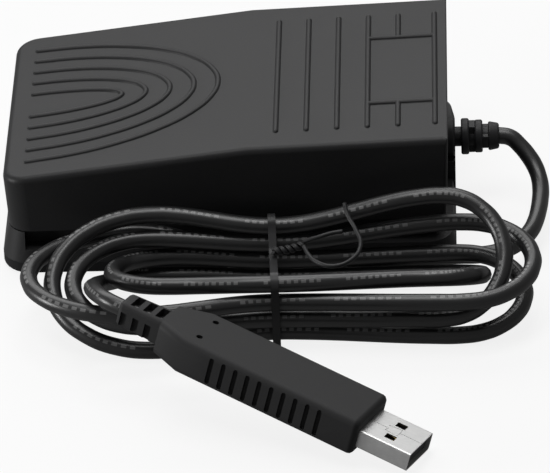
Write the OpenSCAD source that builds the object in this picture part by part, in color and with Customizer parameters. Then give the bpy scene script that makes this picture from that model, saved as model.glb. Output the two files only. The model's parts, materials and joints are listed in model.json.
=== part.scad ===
// USB foot pedal switch: hinged pedal over a snap switch, tied cord and USB-A plug.
// X runs along the pedal to the cord end, Z is up, the origin lies under the middle of the sole.
// Millimetres.

/* [Pedal] */
// Length over the sole
body_l = 106; // [98:1:116]
// Width over the sole
body_w = 68; // [64:1:76]
// Height of the pedal top at the cord end
rear_h = 34; // [33:0.5:37]
// Height of the pedal top at the fold
fold_h = 32.2; // [31.4:0.1:33]
// Height of the pedal top at the front edge
front_h = 25; // [24.5:0.5:27]
// Distance of the fold behind the middle
fold_x = 5; // [2:1:10]
// Side wall of the pedal cover
cover_t = 2; // [1.6:0.1:2.2]
// Top wall of the pedal cover
top_t = 2.2; // [1.8:0.1:2.6]
// Rounding of the front corners in plan
front_r = 5.5; // [4.5:0.5:7]
// Travel of the pedal in degrees
travel_deg = 3.2; // [2:0.1:3.2]

/* [Grip] */
// Width of a grip bead
bead_w = 1.4; // [1:0.1:1.8]
// Height of a grip bead
bead_h = 0.5; // [0.3:0.05:0.7]
// Step between cross ribs
rib_step = 7.1; // [6.5:0.1:7.4]
// Half length of a cross rib
rib_half = 25.3; // [22:0.1:27]
// Step between nested curves across the pedal
curve_step = 5.1; // [4.5:0.1:5.4]

/* [Base] */
// Thickness of the rubber sole
sole_t = 3.2; // [2.6:0.1:3.6]
// Floor of the base above the sole
floor_t = 2; // [1.6:0.1:2.2]
// Height of the base rim along the sides
rim_h = 6.4; // [6:0.1:6.6]
// Diameter of the hinge pin
pin_d = 3; // [2.5:0.1:3.5]

/* [Switch] */
// Length of the switch body
switch_l = 20; // [19:0.5:21]
// Width of the switch body
switch_w = 6.5; // [6:0.1:7]
// Height of the switch body
switch_h = 10.2; // [9.8:0.1:10.4]

/* [Cord] */
// Diameter of the cord
cord_d = 4; // [3.6:0.1:4.2]
// Height of the cord outlet
cord_z = 14.8; // [14.2:0.1:15.4]

/* [Plug] */
// Length of the moulded plug body
plug_l = 45; // [43:1:48]
// Width of the moulded plug body
plug_w = 16; // [15:0.5:18]
// Thickness of the moulded plug body
plug_h = 9.2; // [8.6:0.2:10]

/* [Hidden] */
$fn = 48;
// Running fit on a radius, and the fit between fixed pieces
run_fit = 0.05;
fit = 0.05;
// Clearance kept between moving pieces
clear = 0.3;

// Pedal cover
cover_in = 1;
cover_l = body_l - 2 * cover_in;
cover_w = body_w - 2 * cover_in;
edge_r = 1.6;
rear_r = 2.4;
rear_edge_r = 0.8;
draft_in = 0.7;
bulge_out = 0.4;
bulge_drop = 7;
bulge_z = rear_h - bulge_drop;
inner_edge_r = 0.3;
front_x = -cover_l / 2;
rear_x = cover_l / 2 - bulge_out;
front_slope = atan((fold_h - front_h) / (fold_x - front_x));
rear_slope = atan((rear_h - fold_h) / (rear_x - fold_x));
front_gap = 4.4;
rear_gap = 6.1;
skirt_front_z = rim_h + front_gap;
skirt_rear_z = rim_h + rear_gap;

// Base
floor_z = sole_t + floor_t;
post_h = skirt_front_z - clear;
post_l = 5.6;
post_x = -body_l / 2 + post_l;
sole_r = 6.5;
sole_edge_r = 1.4;
ring_x0 = front_x + draft_in + cover_t + 1.1;
ring_x1 = cover_l / 2 - draft_in - cover_t - 0.9;
ring_w = cover_w - 2 * (draft_in + cover_t + 0.9);
ring_t = 1.8;
ring_h = 19;

// Hinge
hinge_x = -body_l / 2 + 9;
hinge_z = 14.5;
lug_d = pin_d + 4;
lug_t = 4.4;
boss_t = 5;
lug_room = 0.6;
boss_y = ring_w / 2 - ring_t - lug_room - boss_t;
lug_y = boss_y - lug_t - lug_room;
pin_l = 2 * (boss_y + boss_t);
stop_y = 14;
stop_w = 6;
stop_t = 1.8;
stop_z = 14.4;
stop_in = 1.2;
stop_drop = (cover_l / 2 - hinge_x) * sin(travel_deg) + clear;

// Return spring
spring_x = 0;
spring_d = 8.4;
spring_wire = 1.1;
spring_turns = 5;
spring_z0 = floor_z + fit;
spring_z1 = 20;
spring_pin_d = 5;
spring_pin_h = 3;
spring_seat_d = 11;

// Snap switch: the lever turns on a pin near its front end
switch_x = 8;
switch_z = 12.2;
switch_top = switch_z + switch_h;
lever_x = switch_x + 2;
lever_z = switch_top + 0.9;
lever_t = 0.5;
lever_w = 3.6;
lever_l = 20;
lever_rest = 14.3;
lever_pin_d = 1;
knuckle_d = 1.7;
cheek_t = 0.8;
cheek_l = 1.6;
cheek_room = 0.2;
press_l = 17;
press_x = lever_x + press_l;
press_r = 2.5;
plunger_l = 5;
plunger_x = lever_x + plunger_l;
plunger_d = 2.4;
plunger_in = 5;
plunger_room = 7;
plunger_z = lever_z + plunger_l * tan(lever_rest) - (lever_t / 2 + clear + plunger_d / 2) / cos(lever_rest);
press_z = lever_z + press_l * tan(lever_rest) + (lever_t / 2 + clear + press_r) / cos(lever_rest);
switch_hole_d = 2.2;
switch_hole_x = 5.2;
switch_hole_step = 9.6;
switch_hole_z = 3;
bracket_t = 3.4;
blade_w = 2.4;
blade_t = 0.5;
blade_l = 4.6;
blade_x = [2, 10, 18];
rest_x = [5, 13.2];
rest_l = 2;
rest_w = switch_w / 2 - 0.6;

// Stops
bumper_in = 8.4;
bumper_x = ring_x1 - bumper_in;
bumper_y = 20;
bumper_d = 8;
bumper_h = 3;
bumper_drop = (bumper_x - hinge_x) * sin(travel_deg);

// Cord outlet and clamp
outlet_x = ring_x1;
flange_d = cord_d + 5.6;
groove_d = cord_d + 2.4;
relief_out = 10.5;
exit_x = body_l / 2 + relief_out;
seat_in = 4;
clamp_in = 12.4;
clamp_x = ring_x1 - clamp_in;
wire_room = 3;
inner_x = switch_x + switch_l + wire_room;
cradle_top = cord_z - 3.8;
clamp_y = 6;
clamp_edge = 3;
clamp_l = 5;
clamp_h = 3;
notch_w = flange_d + 2;
notch_z = cord_z + flange_d / 2 + (rear_x - hinge_x) * sin(travel_deg) + 1.2 - notch_w / 2;

// Screws
sole_screw = [30, 24];
screw_d = 2.8;
screw_head_d = 5.6;
screw_head_h = 1.6;
screw_l = 7;
screw_boss_h = 5;
screw_sink = 0.4;
small_screw_d = 2;
small_head_d = 3.8;
small_head_h = 1.4;

// The cord lies beside the pedal and is laid out from its rear near corner
corner = [body_l / 2, -body_w / 2, 0];
layer = cord_d + 0.6;
tie_lift = 0.7;
tie_x = -42;
loops = 4;
cap_rings = 7;
run_rings = 5;
// Loop ends towards the rear, in the order of the cord: tip, middle, half width and depth of each loop
rear_tip = [17.5, 11, 15.5, 6];
rear_mid = [-20.5, -20, -20, -18];
rear_half = [13.5, 12.5, 12.5, 9.5];
rear_cap = [16, 14, 15, 9.5];
// Loop ends towards the front
front_tip = [-98, -88, -92.8, -79];
front_mid = [-21.2, -21, -20.5, -18.3];
front_half = [19, 14.2, 15.8, 11.2];
front_cap = [25, 17, 23, 13.5];
// Heights of the far and near runs where they meet the loop ends, in layers of cord
far_rear = [0.65, 3.15, 4.8, 1.4, 0.35];
far_front = [2.3, 2.5, 3.65, 1.45, 0.4];
near_front = [2.6, 1.25, 0, 2.8];
near_rear = [2.15, 1, 0, 2.7];
// Places in the tie from the floor up, and the place that each run takes
near_tie = [-30.4, -32.4, -32.6, -32];
far_tie_y = [-3.6, -8.2, -8, -8, -7.8];
near_place = [2, 1, 0, 3];
far_place = [0, 3, 4, 2, 1];
tie_step = 0.5;
lead_end = [1, -3.2];
tail_start = [-64, -7.6];

// Plug, pointing out of the hank with its tip on the floor
plug_at = [-19.9, -75.5, 5.9];
plug_turn = [-7, 13, -26.9];
hip_l = 7;
hip_w = 10.5;
hip_h = 8.8;
relief_l = 11.5;
mould_rise = 0.6;
relief_x = plug_l + hip_l;
relief_end = relief_x + relief_l;
shell_w = 12;
shell_h = 4.5;
shell_t = 0.3;
shell_out = 12.7;
shell_in = 6;
board_l = 31;
board_w = 12;
board_t = 1.2;
board_z = -1.6;
cavity_h = 5;
cavity_wall = 6;
cavity_x = plug_l - cavity_wall;
chip_x = 26;
chip_w = 6;
chip_t = 1.2;
contact_y = [-3.5, -1, 1, 3.5];

base();
rubber_sole();
sole_screws();
hinge_pin();
pedal_cover();
return_spring();
switch_body();
switch_plunger();
switch_lever();
lever_brackets();
lever_pin();
switch_blades();
switch_screws();
stop_bumpers();
strain_relief();
inner_cable();
switch_wires();
cable_clamp();
clamp_screws();
cable_lead();
cable_hank();
cable_tail();
twist_tie();
plug_overmould();
plug_cable();
plug_board();
controller_chip();
board_parts();
usb_shell();
usb_tongue();
usb_contacts();

// Height of the pedal top over a place on its length
function top_z(x) = x < fold_x
    ? fold_h - (fold_x - x) * tan(front_slope)
    : fold_h + (x - fold_x) * tan(rear_slope);

// Sweeps: a ring of points round each place of a route, closed by end faces
function unit(v) = v / norm(v);
function heading(p, i) = unit(p[min(i + 1, len(p) - 1)] - p[max(i - 1, 0)]);
function side_of(t) = unit(cross([0, 0, 1], t));
function ring_at(c, t, r, n) = [
    for (k = [0 : n - 1])
        c + r * cos(360 * (k + 0.5) / n) * side_of(t) + r * sin(360 * (k + 0.5) / n) * cross(t, side_of(t))
];
function ring_ends(p) = [for (i = [0 : len(p) - 1]) heading(p, i)];
function sweep_faces(m, n) = concat(
    [[for (k = [0 : n - 1]) k]],
    [[for (k = [n - 1 : -1 : 0]) (m - 1) * n + k]],
    [for (i = [0 : m - 2]) for (k = [0 : n - 1])
        [i * n + k, (i + 1) * n + k, (i + 1) * n + (k + 1) % n]],
    [for (i = [0 : m - 2]) for (k = [0 : n - 1])
        [i * n + k, (i + 1) * n + (k + 1) % n, i * n + (k + 1) % n]]
);
module tube(p, d, n) {
    t = ring_ends(p);
    pts = [for (i = [0 : len(p) - 1]) each ring_at(p[i], t[i], d / 2, n)];
    polyhedron(points = pts, faces = sweep_faces(len(p), n));
}

// Rounded corner disc whose top lies at the origin
module round_disc(r, e) {
    translate([0, 0, -e])
        rotate_extrude($fn = 32) {
            intersection() {
                translate([r - e, 0]) circle(r = e, $fn = 20);
                square([r, e]);
            }
            square([r - e, e]);
        }
}

// Outside of the pedal cover, or its hollow when drawn in by the walls
module cover_form(wall, top, edge, rear_edge, low) {
    hull() {
        for (s = [-1, 1]) {
            translate([front_x + front_r, s * (cover_w / 2 - front_r), top_z(front_x + front_r) - top])
                rotate([0, -front_slope, 0])
                    round_disc(front_r - wall, edge);
            translate([
                front_x + front_r + draft_in,
                s * (cover_w / 2 - front_r - draft_in),
                skirt_front_z - low
            ])
                cylinder(r = front_r - wall, h = 0.1, $fn = 32);
            translate([fold_x, s * (cover_w / 2 - wall - edge), fold_h - top - edge])
                sphere(r = edge, $fn = 24);
            translate([rear_x - rear_r, s * (cover_w / 2 - rear_r), top_z(rear_x - rear_r) - top])
                rotate([0, -rear_slope, 0])
                    round_disc(rear_r - wall, rear_edge);
            translate([rear_x + bulge_out - rear_r, s * (cover_w / 2 - rear_r), bulge_z])
                cylinder(r = rear_r - wall, h = 0.1, $fn = 32);
            translate([
                cover_l / 2 - draft_in - rear_r,
                s * (cover_w / 2 - rear_r - draft_in),
                skirt_rear_z - low
            ])
                cylinder(r = rear_r - wall, h = 0.1, $fn = 32);
        }
    }
}

// Bead laid along a straight line of the rear plane, from one place to another
module straight_bead(from, to) {
    r = (bead_w * bead_w / 4 + bead_h * bead_h) / (2 * bead_h);
    a = [from[0], from[1], bead_h - r];
    b = [to[0], to[1], bead_h - r];
    translate([fold_x, 0, fold_h])
        rotate([0, -rear_slope, 0])
            translate(a - [fold_x, 0, 0])
                rotate([0, 90, atan2(b[1] - a[1], b[0] - a[0])])
                    cylinder(r = r, h = norm(b - a), $fn = 24);
}

// Bead curved as half an ellipse on the front plane
curve_steps = 24;
curve_x = front_x + 5.5;
module curved_bead(along, across) {
    w = bead_w / 2;
    side = w * 0.6;
    shoulder = bead_h * 0.8;
    section = [[-w, -w], [-w, 0], [-side, shoulder], [0, bead_h], [side, shoulder], [w, 0], [w, -w]];
    n = len(section);
    pts = [
        for (i = [0 : curve_steps])
            let (
                a = -90 + 180 * i / curve_steps,
                out = unit([cos(a) / along, sin(a) / across])
            )
                for (q = section)
                    [along * cos(a) + out[0] * q[0], across * sin(a) + out[1] * q[0], q[1]]
    ];
    translate([fold_x, 0, fold_h])
        rotate([0, -front_slope, 0])
            translate([(curve_x - fold_x) / cos(front_slope), 0, 0])
                polyhedron(points = pts, faces = sweep_faces(curve_steps + 1, n));
}

rib_x = fold_x + 6.7;
rib_last = cover_l / 2 - 3.3;
frame_y = 15;
curve_first = 21.5;
curve_grow = 5.75;
module grip() {
    for (i = [0 : 3])
        straight_bead([rib_x + i * rib_step, -rib_half], [rib_x + i * rib_step, rib_half]);
    straight_bead([rib_last, -rib_half], [rib_last, rib_half]);
    for (s = [-1, 1]) {
        straight_bead([rib_x + 4 * rib_step, s * frame_y], [rib_x + 4 * rib_step, s * rib_half]);
        straight_bead([rib_x + 3 * rib_step, s * frame_y], [rib_last, s * frame_y]);
    }
    for (i = [0 : 4])
        curved_bead(curve_first + i * curve_grow, (i + 1) * curve_step);
}

// Round post hanging from the pedal top down to a height
module hung_post(x, y, d, z) {
    translate([x, y, z])
        cylinder(d = d, h = top_z(x) - top_t / 2 - z);
}

module pedal_cover() {
    color("#2b2b2d") {
        difference() {
            cover_form(0, 0, edge_r, rear_edge_r, 0);
            cover_form(cover_t, top_t, inner_edge_r, inner_edge_r, 1);
            translate([ring_x1, -notch_w / 2, 0])
                cube([body_l / 2 - ring_x1, notch_w, notch_z]);
            translate([ring_x1, 0, notch_z])
                rotate([0, 90, 0])
                    cylinder(d = notch_w, h = body_l / 2 - ring_x1);
        }
        grip();
        for (s = [-1, 1]) {
            difference() {
                translate([hinge_x, s * (lug_y + lug_t / 2), hinge_z]) {
                    rotate([90, 0, 0])
                        cylinder(d = lug_d, h = lug_t, center = true);
                    translate([-lug_d / 2, -lug_t / 2, 0])
                        cube([lug_d, lug_t, top_z(hinge_x - lug_d / 2) - top_t / 2 - hinge_z]);
                }
                translate([hinge_x, 0, hinge_z])
                    rotate([90, 0, 0])
                        cylinder(d = pin_d + 2 * run_fit, h = pin_l, center = true);
            }
            translate([ring_x1 - stop_in, s * (stop_y + stop_w / 2) - stop_w / 2, stop_z])
                cube([cover_l / 2 - draft_in - cover_t / 2 - ring_x1 + stop_in, stop_w, stop_t]);
            hung_post(bumper_x, s * bumper_y, bumper_d - 1, floor_z + bumper_h + bumper_drop + clear);
        }
        hung_post(press_x, 0, 2 * press_r, press_z);
        difference() {
            translate([press_x, 0, press_z])
                sphere(r = press_r);
            translate([press_x - press_r, -press_r, (press_z + top_z(press_x) - top_t / 2) / 2])
                cube([2 * press_r, 2 * press_r, press_r]);
        }
        hung_post(spring_x, 0, spring_seat_d, spring_z1 + fit);
        translate([spring_x, 0, spring_z1 + 2 * fit - spring_pin_h])
            cylinder(d = spring_pin_d, h = spring_pin_h);
    }
}

// Plate with rounded corners
module plate(l, w, r, h) {
    linear_extrude(h) {
        square([l - 2 * r, w], center = true);
        square([l, w - 2 * r], center = true);
        for (sx = [-1, 1], sy = [-1, 1])
            translate([sx * (l / 2 - r), sy * (w / 2 - r)])
                circle(r = r);
    }
}

// Flared outside of the base
module base_flare() {
    hull() {
        for (sx = [-1, 1], sy = [-1, 1]) {
            translate([sx * (body_l / 2 - sole_r), sy * (body_w / 2 - sole_r), sole_t])
                cylinder(r = sole_r, h = 0.1, $fn = 32);
            translate([
                sx * (cover_l / 2 - draft_in - front_r),
                sy * (cover_w / 2 - draft_in - front_r),
                post_h - 0.1
            ])
                cylinder(r = front_r, h = 0.1, $fn = 32);
        }
    }
}

module ring_block(inset, z0, z1) {
    translate([ring_x0 + inset, -ring_w / 2 + inset, z0])
        cube([ring_x1 - ring_x0 - 2 * inset, ring_w - 2 * inset, z1 - z0]);
}

module base() {
    color("#1f1f21") {
        difference() {
            union() {
                difference() {
                    base_flare();
                    translate([post_x, -body_w, rim_h])
                        cube([2 * body_l, 2 * body_w, post_h]);
                }
                ring_block(0, floor_z, ring_h);
            }
            ring_block(ring_t, floor_z, ring_h + 1);
            translate([ring_x1 - 2 * ring_t, 0, cord_z])
                rotate([0, 90, 0])
                    cylinder(d = groove_d + 2 * fit, h = 4 * ring_t);
            translate([ring_x1 - 2 * ring_t, -groove_d / 2 - fit, cord_z])
                cube([4 * ring_t, groove_d + 2 * fit, ring_h]);
            for (s = [-1, 1])
                translate([
                    ring_x1 - 2 * ring_t,
                    s * (stop_y + stop_w / 2) - stop_w / 2 - 1,
                    stop_z - stop_drop
                ])
                    cube([2 * ring_t + 1, stop_w + 2, stop_drop + stop_t + clear]);
            for (s = [-1, 1])
                translate([
                    ring_x0 - 1,
                    s * (lug_y + lug_t / 2) - lug_t / 2 - lug_room,
                    hinge_z - lug_d / 2 - lug_room
                ])
                    cube([ring_t + 2, lug_t + 2 * lug_room, ring_h]);
            for (sx = [-1, 1], sy = [-1, 1])
                translate([sx * sole_screw[0], sy * sole_screw[1], 0])
                    cylinder(d = screw_d + 2 * fit, h = floor_z + 1);
        }
        for (sx = [-1, 1], sy = [-1, 1])
            translate([sx * sole_screw[0], sy * sole_screw[1], floor_z])
                difference() {
                    cylinder(d = screw_d + 4, h = screw_boss_h);
                    translate([0, 0, -1])
                        cylinder(d = screw_d + 2 * fit, h = screw_boss_h + 2);
                }
        for (s = [-1, 1])
            difference() {
                translate([hinge_x, s * (boss_y + boss_t / 2), hinge_z]) {
                    rotate([90, 0, 0])
                        cylinder(d = lug_d, h = boss_t, center = true);
                    translate([-lug_d / 2, -boss_t / 2, floor_z - hinge_z])
                        cube([lug_d, boss_t, hinge_z - floor_z]);
                }
                translate([hinge_x, 0, hinge_z])
                    rotate([90, 0, 0])
                        cylinder(d = pin_d + run_fit, h = pin_l + 2, center = true);
            }
        translate([spring_x, 0, floor_z])
            cylinder(d = spring_pin_d, h = spring_pin_h);
        difference() {
            translate([switch_x - 1, switch_w / 2 + fit, floor_z])
                cube([switch_l + 2, bracket_t, switch_z - floor_z + 8]);
            switch_holes(small_screw_d + 2 * fit);
        }
        for (x = rest_x)
            translate([switch_x + x, -switch_w / 2, floor_z])
                cube([rest_l, rest_w, switch_z - floor_z - fit]);
        difference() {
            translate([ring_x1 - fit, -notch_w / 2 + 2 * clear, sole_t])
                cube([body_l / 2 - ring_x1 + fit, notch_w - 4 * clear, cradle_top - sole_t]);
            collar(outlet_x - fit, body_l / 2 + 1, flange_d + 2 * fit);
        }
        difference() {
            translate([clamp_x, -clamp_y - clamp_edge, floor_z])
                cube([clamp_l, 2 * (clamp_y + clamp_edge), cord_z - floor_z - fit]);
            translate([clamp_x - 1, 0, cord_z])
                rotate([0, 90, 0])
                    cylinder(d = cord_d + 2 * fit, h = clamp_l + 2);
            clamp_holes(small_screw_d + 2 * fit);
        }
    }
}

module switch_holes(d) {
    for (i = [0, 1])
        translate([switch_x + switch_hole_x + i * switch_hole_step, 0, switch_z + switch_hole_z])
            rotate([90, 0, 0])
                cylinder(d = d, h = 4 * switch_w, center = true, $fn = 32);
}

module clamp_holes(d) {
    for (s = [-1, 1])
        translate([clamp_x + clamp_l / 2, s * clamp_y, cord_z - 7])
            cylinder(d = d, h = 8 + clamp_h, $fn = 32);
}

module rubber_sole() {
    color("#171718")
        difference() {
            hull()
                for (sx = [-1, 1], sy = [-1, 1])
                    translate([sx * (body_l / 2 - sole_r), sy * (body_w / 2 - sole_r), 0]) {
                        translate([0, 0, sole_edge_r])
                            cylinder(r = sole_r, h = sole_t - sole_edge_r, $fn = 32);
                        mirror([0, 0, 1])
                            round_disc(sole_r, sole_edge_r);
                    }
            for (sx = [-1, 1], sy = [-1, 1])
                translate([sx * sole_screw[0], sy * sole_screw[1], -1]) {
                    cylinder(d = screw_head_d + 0.6, h = 1 + screw_sink + screw_head_h);
                    cylinder(d = screw_d + 0.4, h = sole_t + 2);
                }
        }
}

// Pan-head screw with a cross recess, head seat at the origin, shank up
module screw(d, l, head_d, head_h) {
    cylinder(d = d, h = l, $fn = 32);
    difference() {
        translate([0, 0, -head_h])
            cylinder(d = head_d, h = head_h, $fn = 32);
        for (a = [0, 90])
            rotate([0, 0, a])
                translate([-head_d * 0.3, -head_d * 0.07, -head_h - 1])
                    cube([head_d * 0.6, head_d * 0.14, 1 + head_h * 0.6]);
    }
}

module sole_screws() {
    color("#b9bcc0")
        for (sx = [-1, 1], sy = [-1, 1])
            translate([sx * sole_screw[0], sy * sole_screw[1], screw_sink + screw_head_h])
                screw(screw_d, screw_l, screw_head_d, screw_head_h - fit);
}

module hinge_pin() {
    color("#b9bcc0")
        translate([hinge_x, 0, hinge_z])
            rotate([90, 0, 0])
                cylinder(d = pin_d, h = pin_l, center = true);
}

module return_spring() {
    rise = spring_z1 - spring_z0 - spring_wire;
    steps = 8 * spring_turns;
    route = [
        for (i = [0 : steps])
            [
                spring_x + spring_d / 2 * cos(360 * i / 8),
                spring_d / 2 * sin(360 * i / 8),
                spring_z0 + spring_wire / 2 + rise * i / steps
            ]
    ];
    color("#c3c6ca")
        tube(route, spring_wire, 6);
}

module switch_body() {
    color("#262628")
        difference() {
            translate([switch_x, -switch_w / 2, switch_z])
                cube([switch_l, switch_w, switch_h]);
            switch_holes(switch_hole_d);
            translate([plunger_x, 0, switch_top - plunger_room])
                cylinder(d = plunger_d + 2 * run_fit, h = plunger_room + 1, $fn = 32);
        }
}

// Two cheeks on top of the switch that hold the pin of its lever
module lever_brackets() {
    color("#262628")
        for (s = [-1, 1])
            difference() {
                translate([lever_x, s * (lever_w / 2 + cheek_room + cheek_t / 2), lever_z]) {
                    rotate([90, 0, 0])
                        cylinder(d = cheek_l, h = cheek_t, center = true, $fn = 32);
                    translate([-cheek_l / 2, -cheek_t / 2, switch_top - lever_z + fit])
                        cube([cheek_l, cheek_t, lever_z - switch_top - fit]);
                }
                translate([lever_x, 0, lever_z])
                    rotate([90, 0, 0])
                        cylinder(d = lever_pin_d + run_fit, h = 2 * switch_w, center = true, $fn = 32);
            }
}

module switch_plunger() {
    color("#a33a2c") {
        translate([plunger_x, 0, switch_top - plunger_in])
            cylinder(d = plunger_d, h = plunger_z - switch_top + plunger_in, $fn = 32);
        translate([plunger_x, 0, plunger_z])
            sphere(d = plunger_d, $fn = 32);
    }
}

module switch_lever() {
    color("#c3c6ca")
        translate([lever_x, 0, lever_z])
            rotate([0, -lever_rest, 0])
                difference() {
                    union() {
                        rotate([90, 0, 0])
                            cylinder(d = knuckle_d, h = lever_w, center = true, $fn = 32);
                        translate([0, -lever_w / 2, -lever_t / 2])
                            cube([lever_l, lever_w, lever_t]);
                    }
                    rotate([90, 0, 0])
                        cylinder(d = lever_pin_d + 2 * run_fit, h = lever_w + 2, center = true, $fn = 32);
                }
}

module lever_pin() {
    color("#b9bcc0")
        translate([lever_x, 0, lever_z])
            rotate([90, 0, 0])
                cylinder(d = lever_pin_d, h = lever_w + 2 * (cheek_room + cheek_t), center = true, $fn = 32);
}

module switch_blades() {
    color("#c9a558")
        for (x = blade_x)
            translate([switch_x + x - blade_w / 2, -blade_t / 2, switch_z - blade_l])
                cube([blade_w, blade_t, blade_l - fit]);
}

module switch_screws() {
    color("#b9bcc0")
        for (i = [0, 1])
            translate([
                switch_x + switch_hole_x + i * switch_hole_step,
                -switch_w / 2 - fit,
                switch_z + switch_hole_z
            ])
                rotate([-90, 0, 0])
                    screw(small_screw_d, switch_w + bracket_t, small_head_d, small_head_h);
}

module stop_bumpers() {
    color("#171718")
        for (s = [-1, 1])
            translate([bumper_x, s * bumper_y, floor_z])
                cylinder(d = bumper_d, h = bumper_h);
}

// Turned piece of the cord outlet between two places along the cord
module collar(from, to, d) {
    translate([from, 0, cord_z])
        rotate([0, 90, 0])
            cylinder(d = d, h = to - from);
}

module strain_relief() {
    rib = [[-9, -7.1, 4.6], [-5.8, -3.9, 3.8], [-2.6, 0, 3]];
    core = cord_d + 1.5;
    color("#1b1b1d")
        difference() {
            union() {
                collar(outlet_x - ring_t - fit - 1.8, outlet_x - ring_t - fit, flange_d - 0.6);
                collar(outlet_x - ring_t - fit - 0.1, outlet_x + fit + 0.1, groove_d);
                collar(outlet_x + fit, body_l / 2, flange_d);
                collar(body_l / 2 - 0.1, exit_x, core);
                for (q = rib)
                    collar(exit_x + q[0], exit_x + q[1], cord_d + q[2]);
            }
            collar(outlet_x - 2 * ring_t - 2, exit_x + 1, cord_d + 2 * fit);
        }
}

module inner_cable() {
    color("#1b1b1d")
        collar(inner_x, exit_x - seat_in, cord_d);
}

module switch_wires() {
    wire_d = 1.2;
    low = floor_z + wire_d;
    tip = [for (x = blade_x) switch_x + x + blade_w / 2 + fit];
    tip_z = switch_z - 0.7 * blade_l;
    near_wire = [
        [inner_x - fit, -0.9, cord_z],
        [inner_x - 1, -0.9, cord_z],
        [inner_x - 1.6, -0.8, cord_z - 2],
        [inner_x - 1.2, -0.4, tip_z + 1.4],
        [inner_x - 1.6, -0.1, tip_z + 0.2],
        [tip[2] + 0.4, 0, tip_z],
        [tip[2], 0, tip_z]
    ];
    far_wire = [
        [inner_x - fit, 0.9, cord_z],
        [inner_x - 1, 0.9, cord_z],
        [inner_x - 1.3, 1.4, cord_z - 2.8],
        [inner_x - 2, 1.9, low + 1.6],
        [inner_x - 4.5, 1.9, low],
        [tip[1] + 1.8, 1.9, low],
        [tip[0] + 4.8, 1.9, low],
        [tip[0] + 2.4, 1, tip_z - 1.2],
        [tip[0] + 0.6, 0.1, tip_z],
        [tip[0], 0, tip_z]
    ];
    color("#8d2f26") {
        tube(near_wire, wire_d, 6);
        tube(far_wire, wire_d, 6);
    }
}

module cable_clamp() {
    color("#262628")
        difference() {
            translate([clamp_x, -clamp_y - clamp_edge, cord_z + fit])
                cube([clamp_l, 2 * (clamp_y + clamp_edge), clamp_h]);
            translate([clamp_x - 1, 0, cord_z])
                rotate([0, 90, 0])
                    cylinder(d = cord_d + 2 * fit, h = clamp_l + 2);
            clamp_holes(small_screw_d + 0.3);
        }
}

module clamp_screws() {
    color("#b9bcc0")
        for (s = [-1, 1])
            translate([clamp_x + clamp_l / 2, s * clamp_y, cord_z + clamp_h + 2 * fit])
                mirror([0, 0, 1])
                    screw(small_screw_d, clamp_h + 6, small_head_d, small_head_h);
}

// Cord: places are given from the rear near corner of the sole
function plug_spot(x) =
    let (
        side = -mould_rise * sin(plug_turn[0]),
        up = mould_rise * cos(plug_turn[0]),
        run = x * cos(plug_turn[1]) + up * sin(plug_turn[1])
    )
    plug_at + [
        run * cos(plug_turn[2]) - side * sin(plug_turn[2]),
        run * sin(plug_turn[2]) + side * cos(plug_turn[2]),
        up * cos(plug_turn[1]) - x * sin(plug_turn[1])
    ];
function blend(t) = (1 - cos(180 * min(max(t, 0), 1))) / 2;
function level(k) = cord_d / 2 + layer * k;
function from_tie(x, a, b) = x > tie_x ? blend((x - tie_x) / (a - tie_x)) : blend((tie_x - x) / (tie_x - b));
// Run between two loop ends, drawn in to the tie on its way
function run_from(a, b, tie) = [
    for (i = [1 : run_rings])
        let (
            x = a[0] + (b[0] - a[0]) * i / run_rings,
            t = from_tie(x, max(a[0], b[0]), min(a[0], b[0])),
            end = (x > tie_x) == (a[0] > b[0]) ? a : b
        )
            [x, tie[0] + (end[1] - tie[0]) * t, tie[1] + (end[2] - tie[1]) * t]
];
function cap_from(x, out, mid, half, z0, z1) = [
    for (i = [1 : cap_rings])
        let (a = 180 * i / cap_rings)
            [x + out * sin(a), mid + half * cos(a), z0 + (z1 - z0) * (1 - cos(a)) / 2]
];
function rear_far(j) = j == 0
    ? [lead_end[0], lead_end[1], level(far_rear[0])]
    : [
        rear_tip[j - 1] - rear_cap[j - 1],
        rear_mid[j - 1] + rear_half[j - 1],
        level(far_rear[j])
    ];
function front_far(j) = j == loops
    ? [tail_start[0], tail_start[1], level(far_front[loops])]
    : [front_tip[j] + front_cap[j], front_mid[j] + front_half[j], level(far_front[j])];
function front_near(k) = [front_tip[k] + front_cap[k], front_mid[k] - front_half[k], level(near_front[k])];
function rear_near(k) = [rear_tip[k] - rear_cap[k], rear_mid[k] - rear_half[k], level(near_rear[k])];
function far_tie(k) = [far_tie_y[k], level(max(k - 1, 0)) + tie_lift + (k > 0 ? tie_step : 0)];
function near_spot(k) = [near_tie[k], level(k) + tie_lift];
function loop(j) = concat(
    run_from(rear_far(j), front_far(j), far_tie(far_place[j])),
    cap_from(front_far(j)[0], -front_cap[j], front_mid[j], front_half[j], front_far(j)[2], front_near(j)[2]),
    run_from(front_near(j), rear_near(j), near_spot(near_place[j])),
    cap_from(rear_near(j)[0], rear_cap[j], rear_mid[j], -rear_half[j], rear_near(j)[2], rear_far(j + 1)[2])
);
hank_route = concat(
    [rear_far(0), rear_far(0) - [cord_d, 0, 0]],
    [for (j = [0 : loops - 1]) each loop(j)],
    run_from(rear_far(loops), front_far(loops), far_tie(far_place[loops])),
    [front_far(loops) - [cord_d, 0, 0]]
);

// Least gap of the hank to itself, measured along its swept sides
function between(p) = [
    for (i = [0 : len(p) - 2]) for (t = [0, 0.25, 0.5, 0.75])
        p[i] + (p[i + 1] - p[i]) * t
];
hank_spots = between(hank_route);
hank_gap = min([
    for (i = [0 : len(hank_spots) - 1]) for (k = [i + 24 : 1 : len(hank_spots) - 1])
        norm(hank_spots[i] - hank_spots[k])
]) - cord_d;
hank_length = [for (i = [1 : len(hank_route) - 1]) norm(hank_route[i] - hank_route[i - 1])]
    * [for (i = [1 : len(hank_route) - 1]) 1];
echo(hank_gap = hank_gap, hank_length = hank_length);

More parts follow.
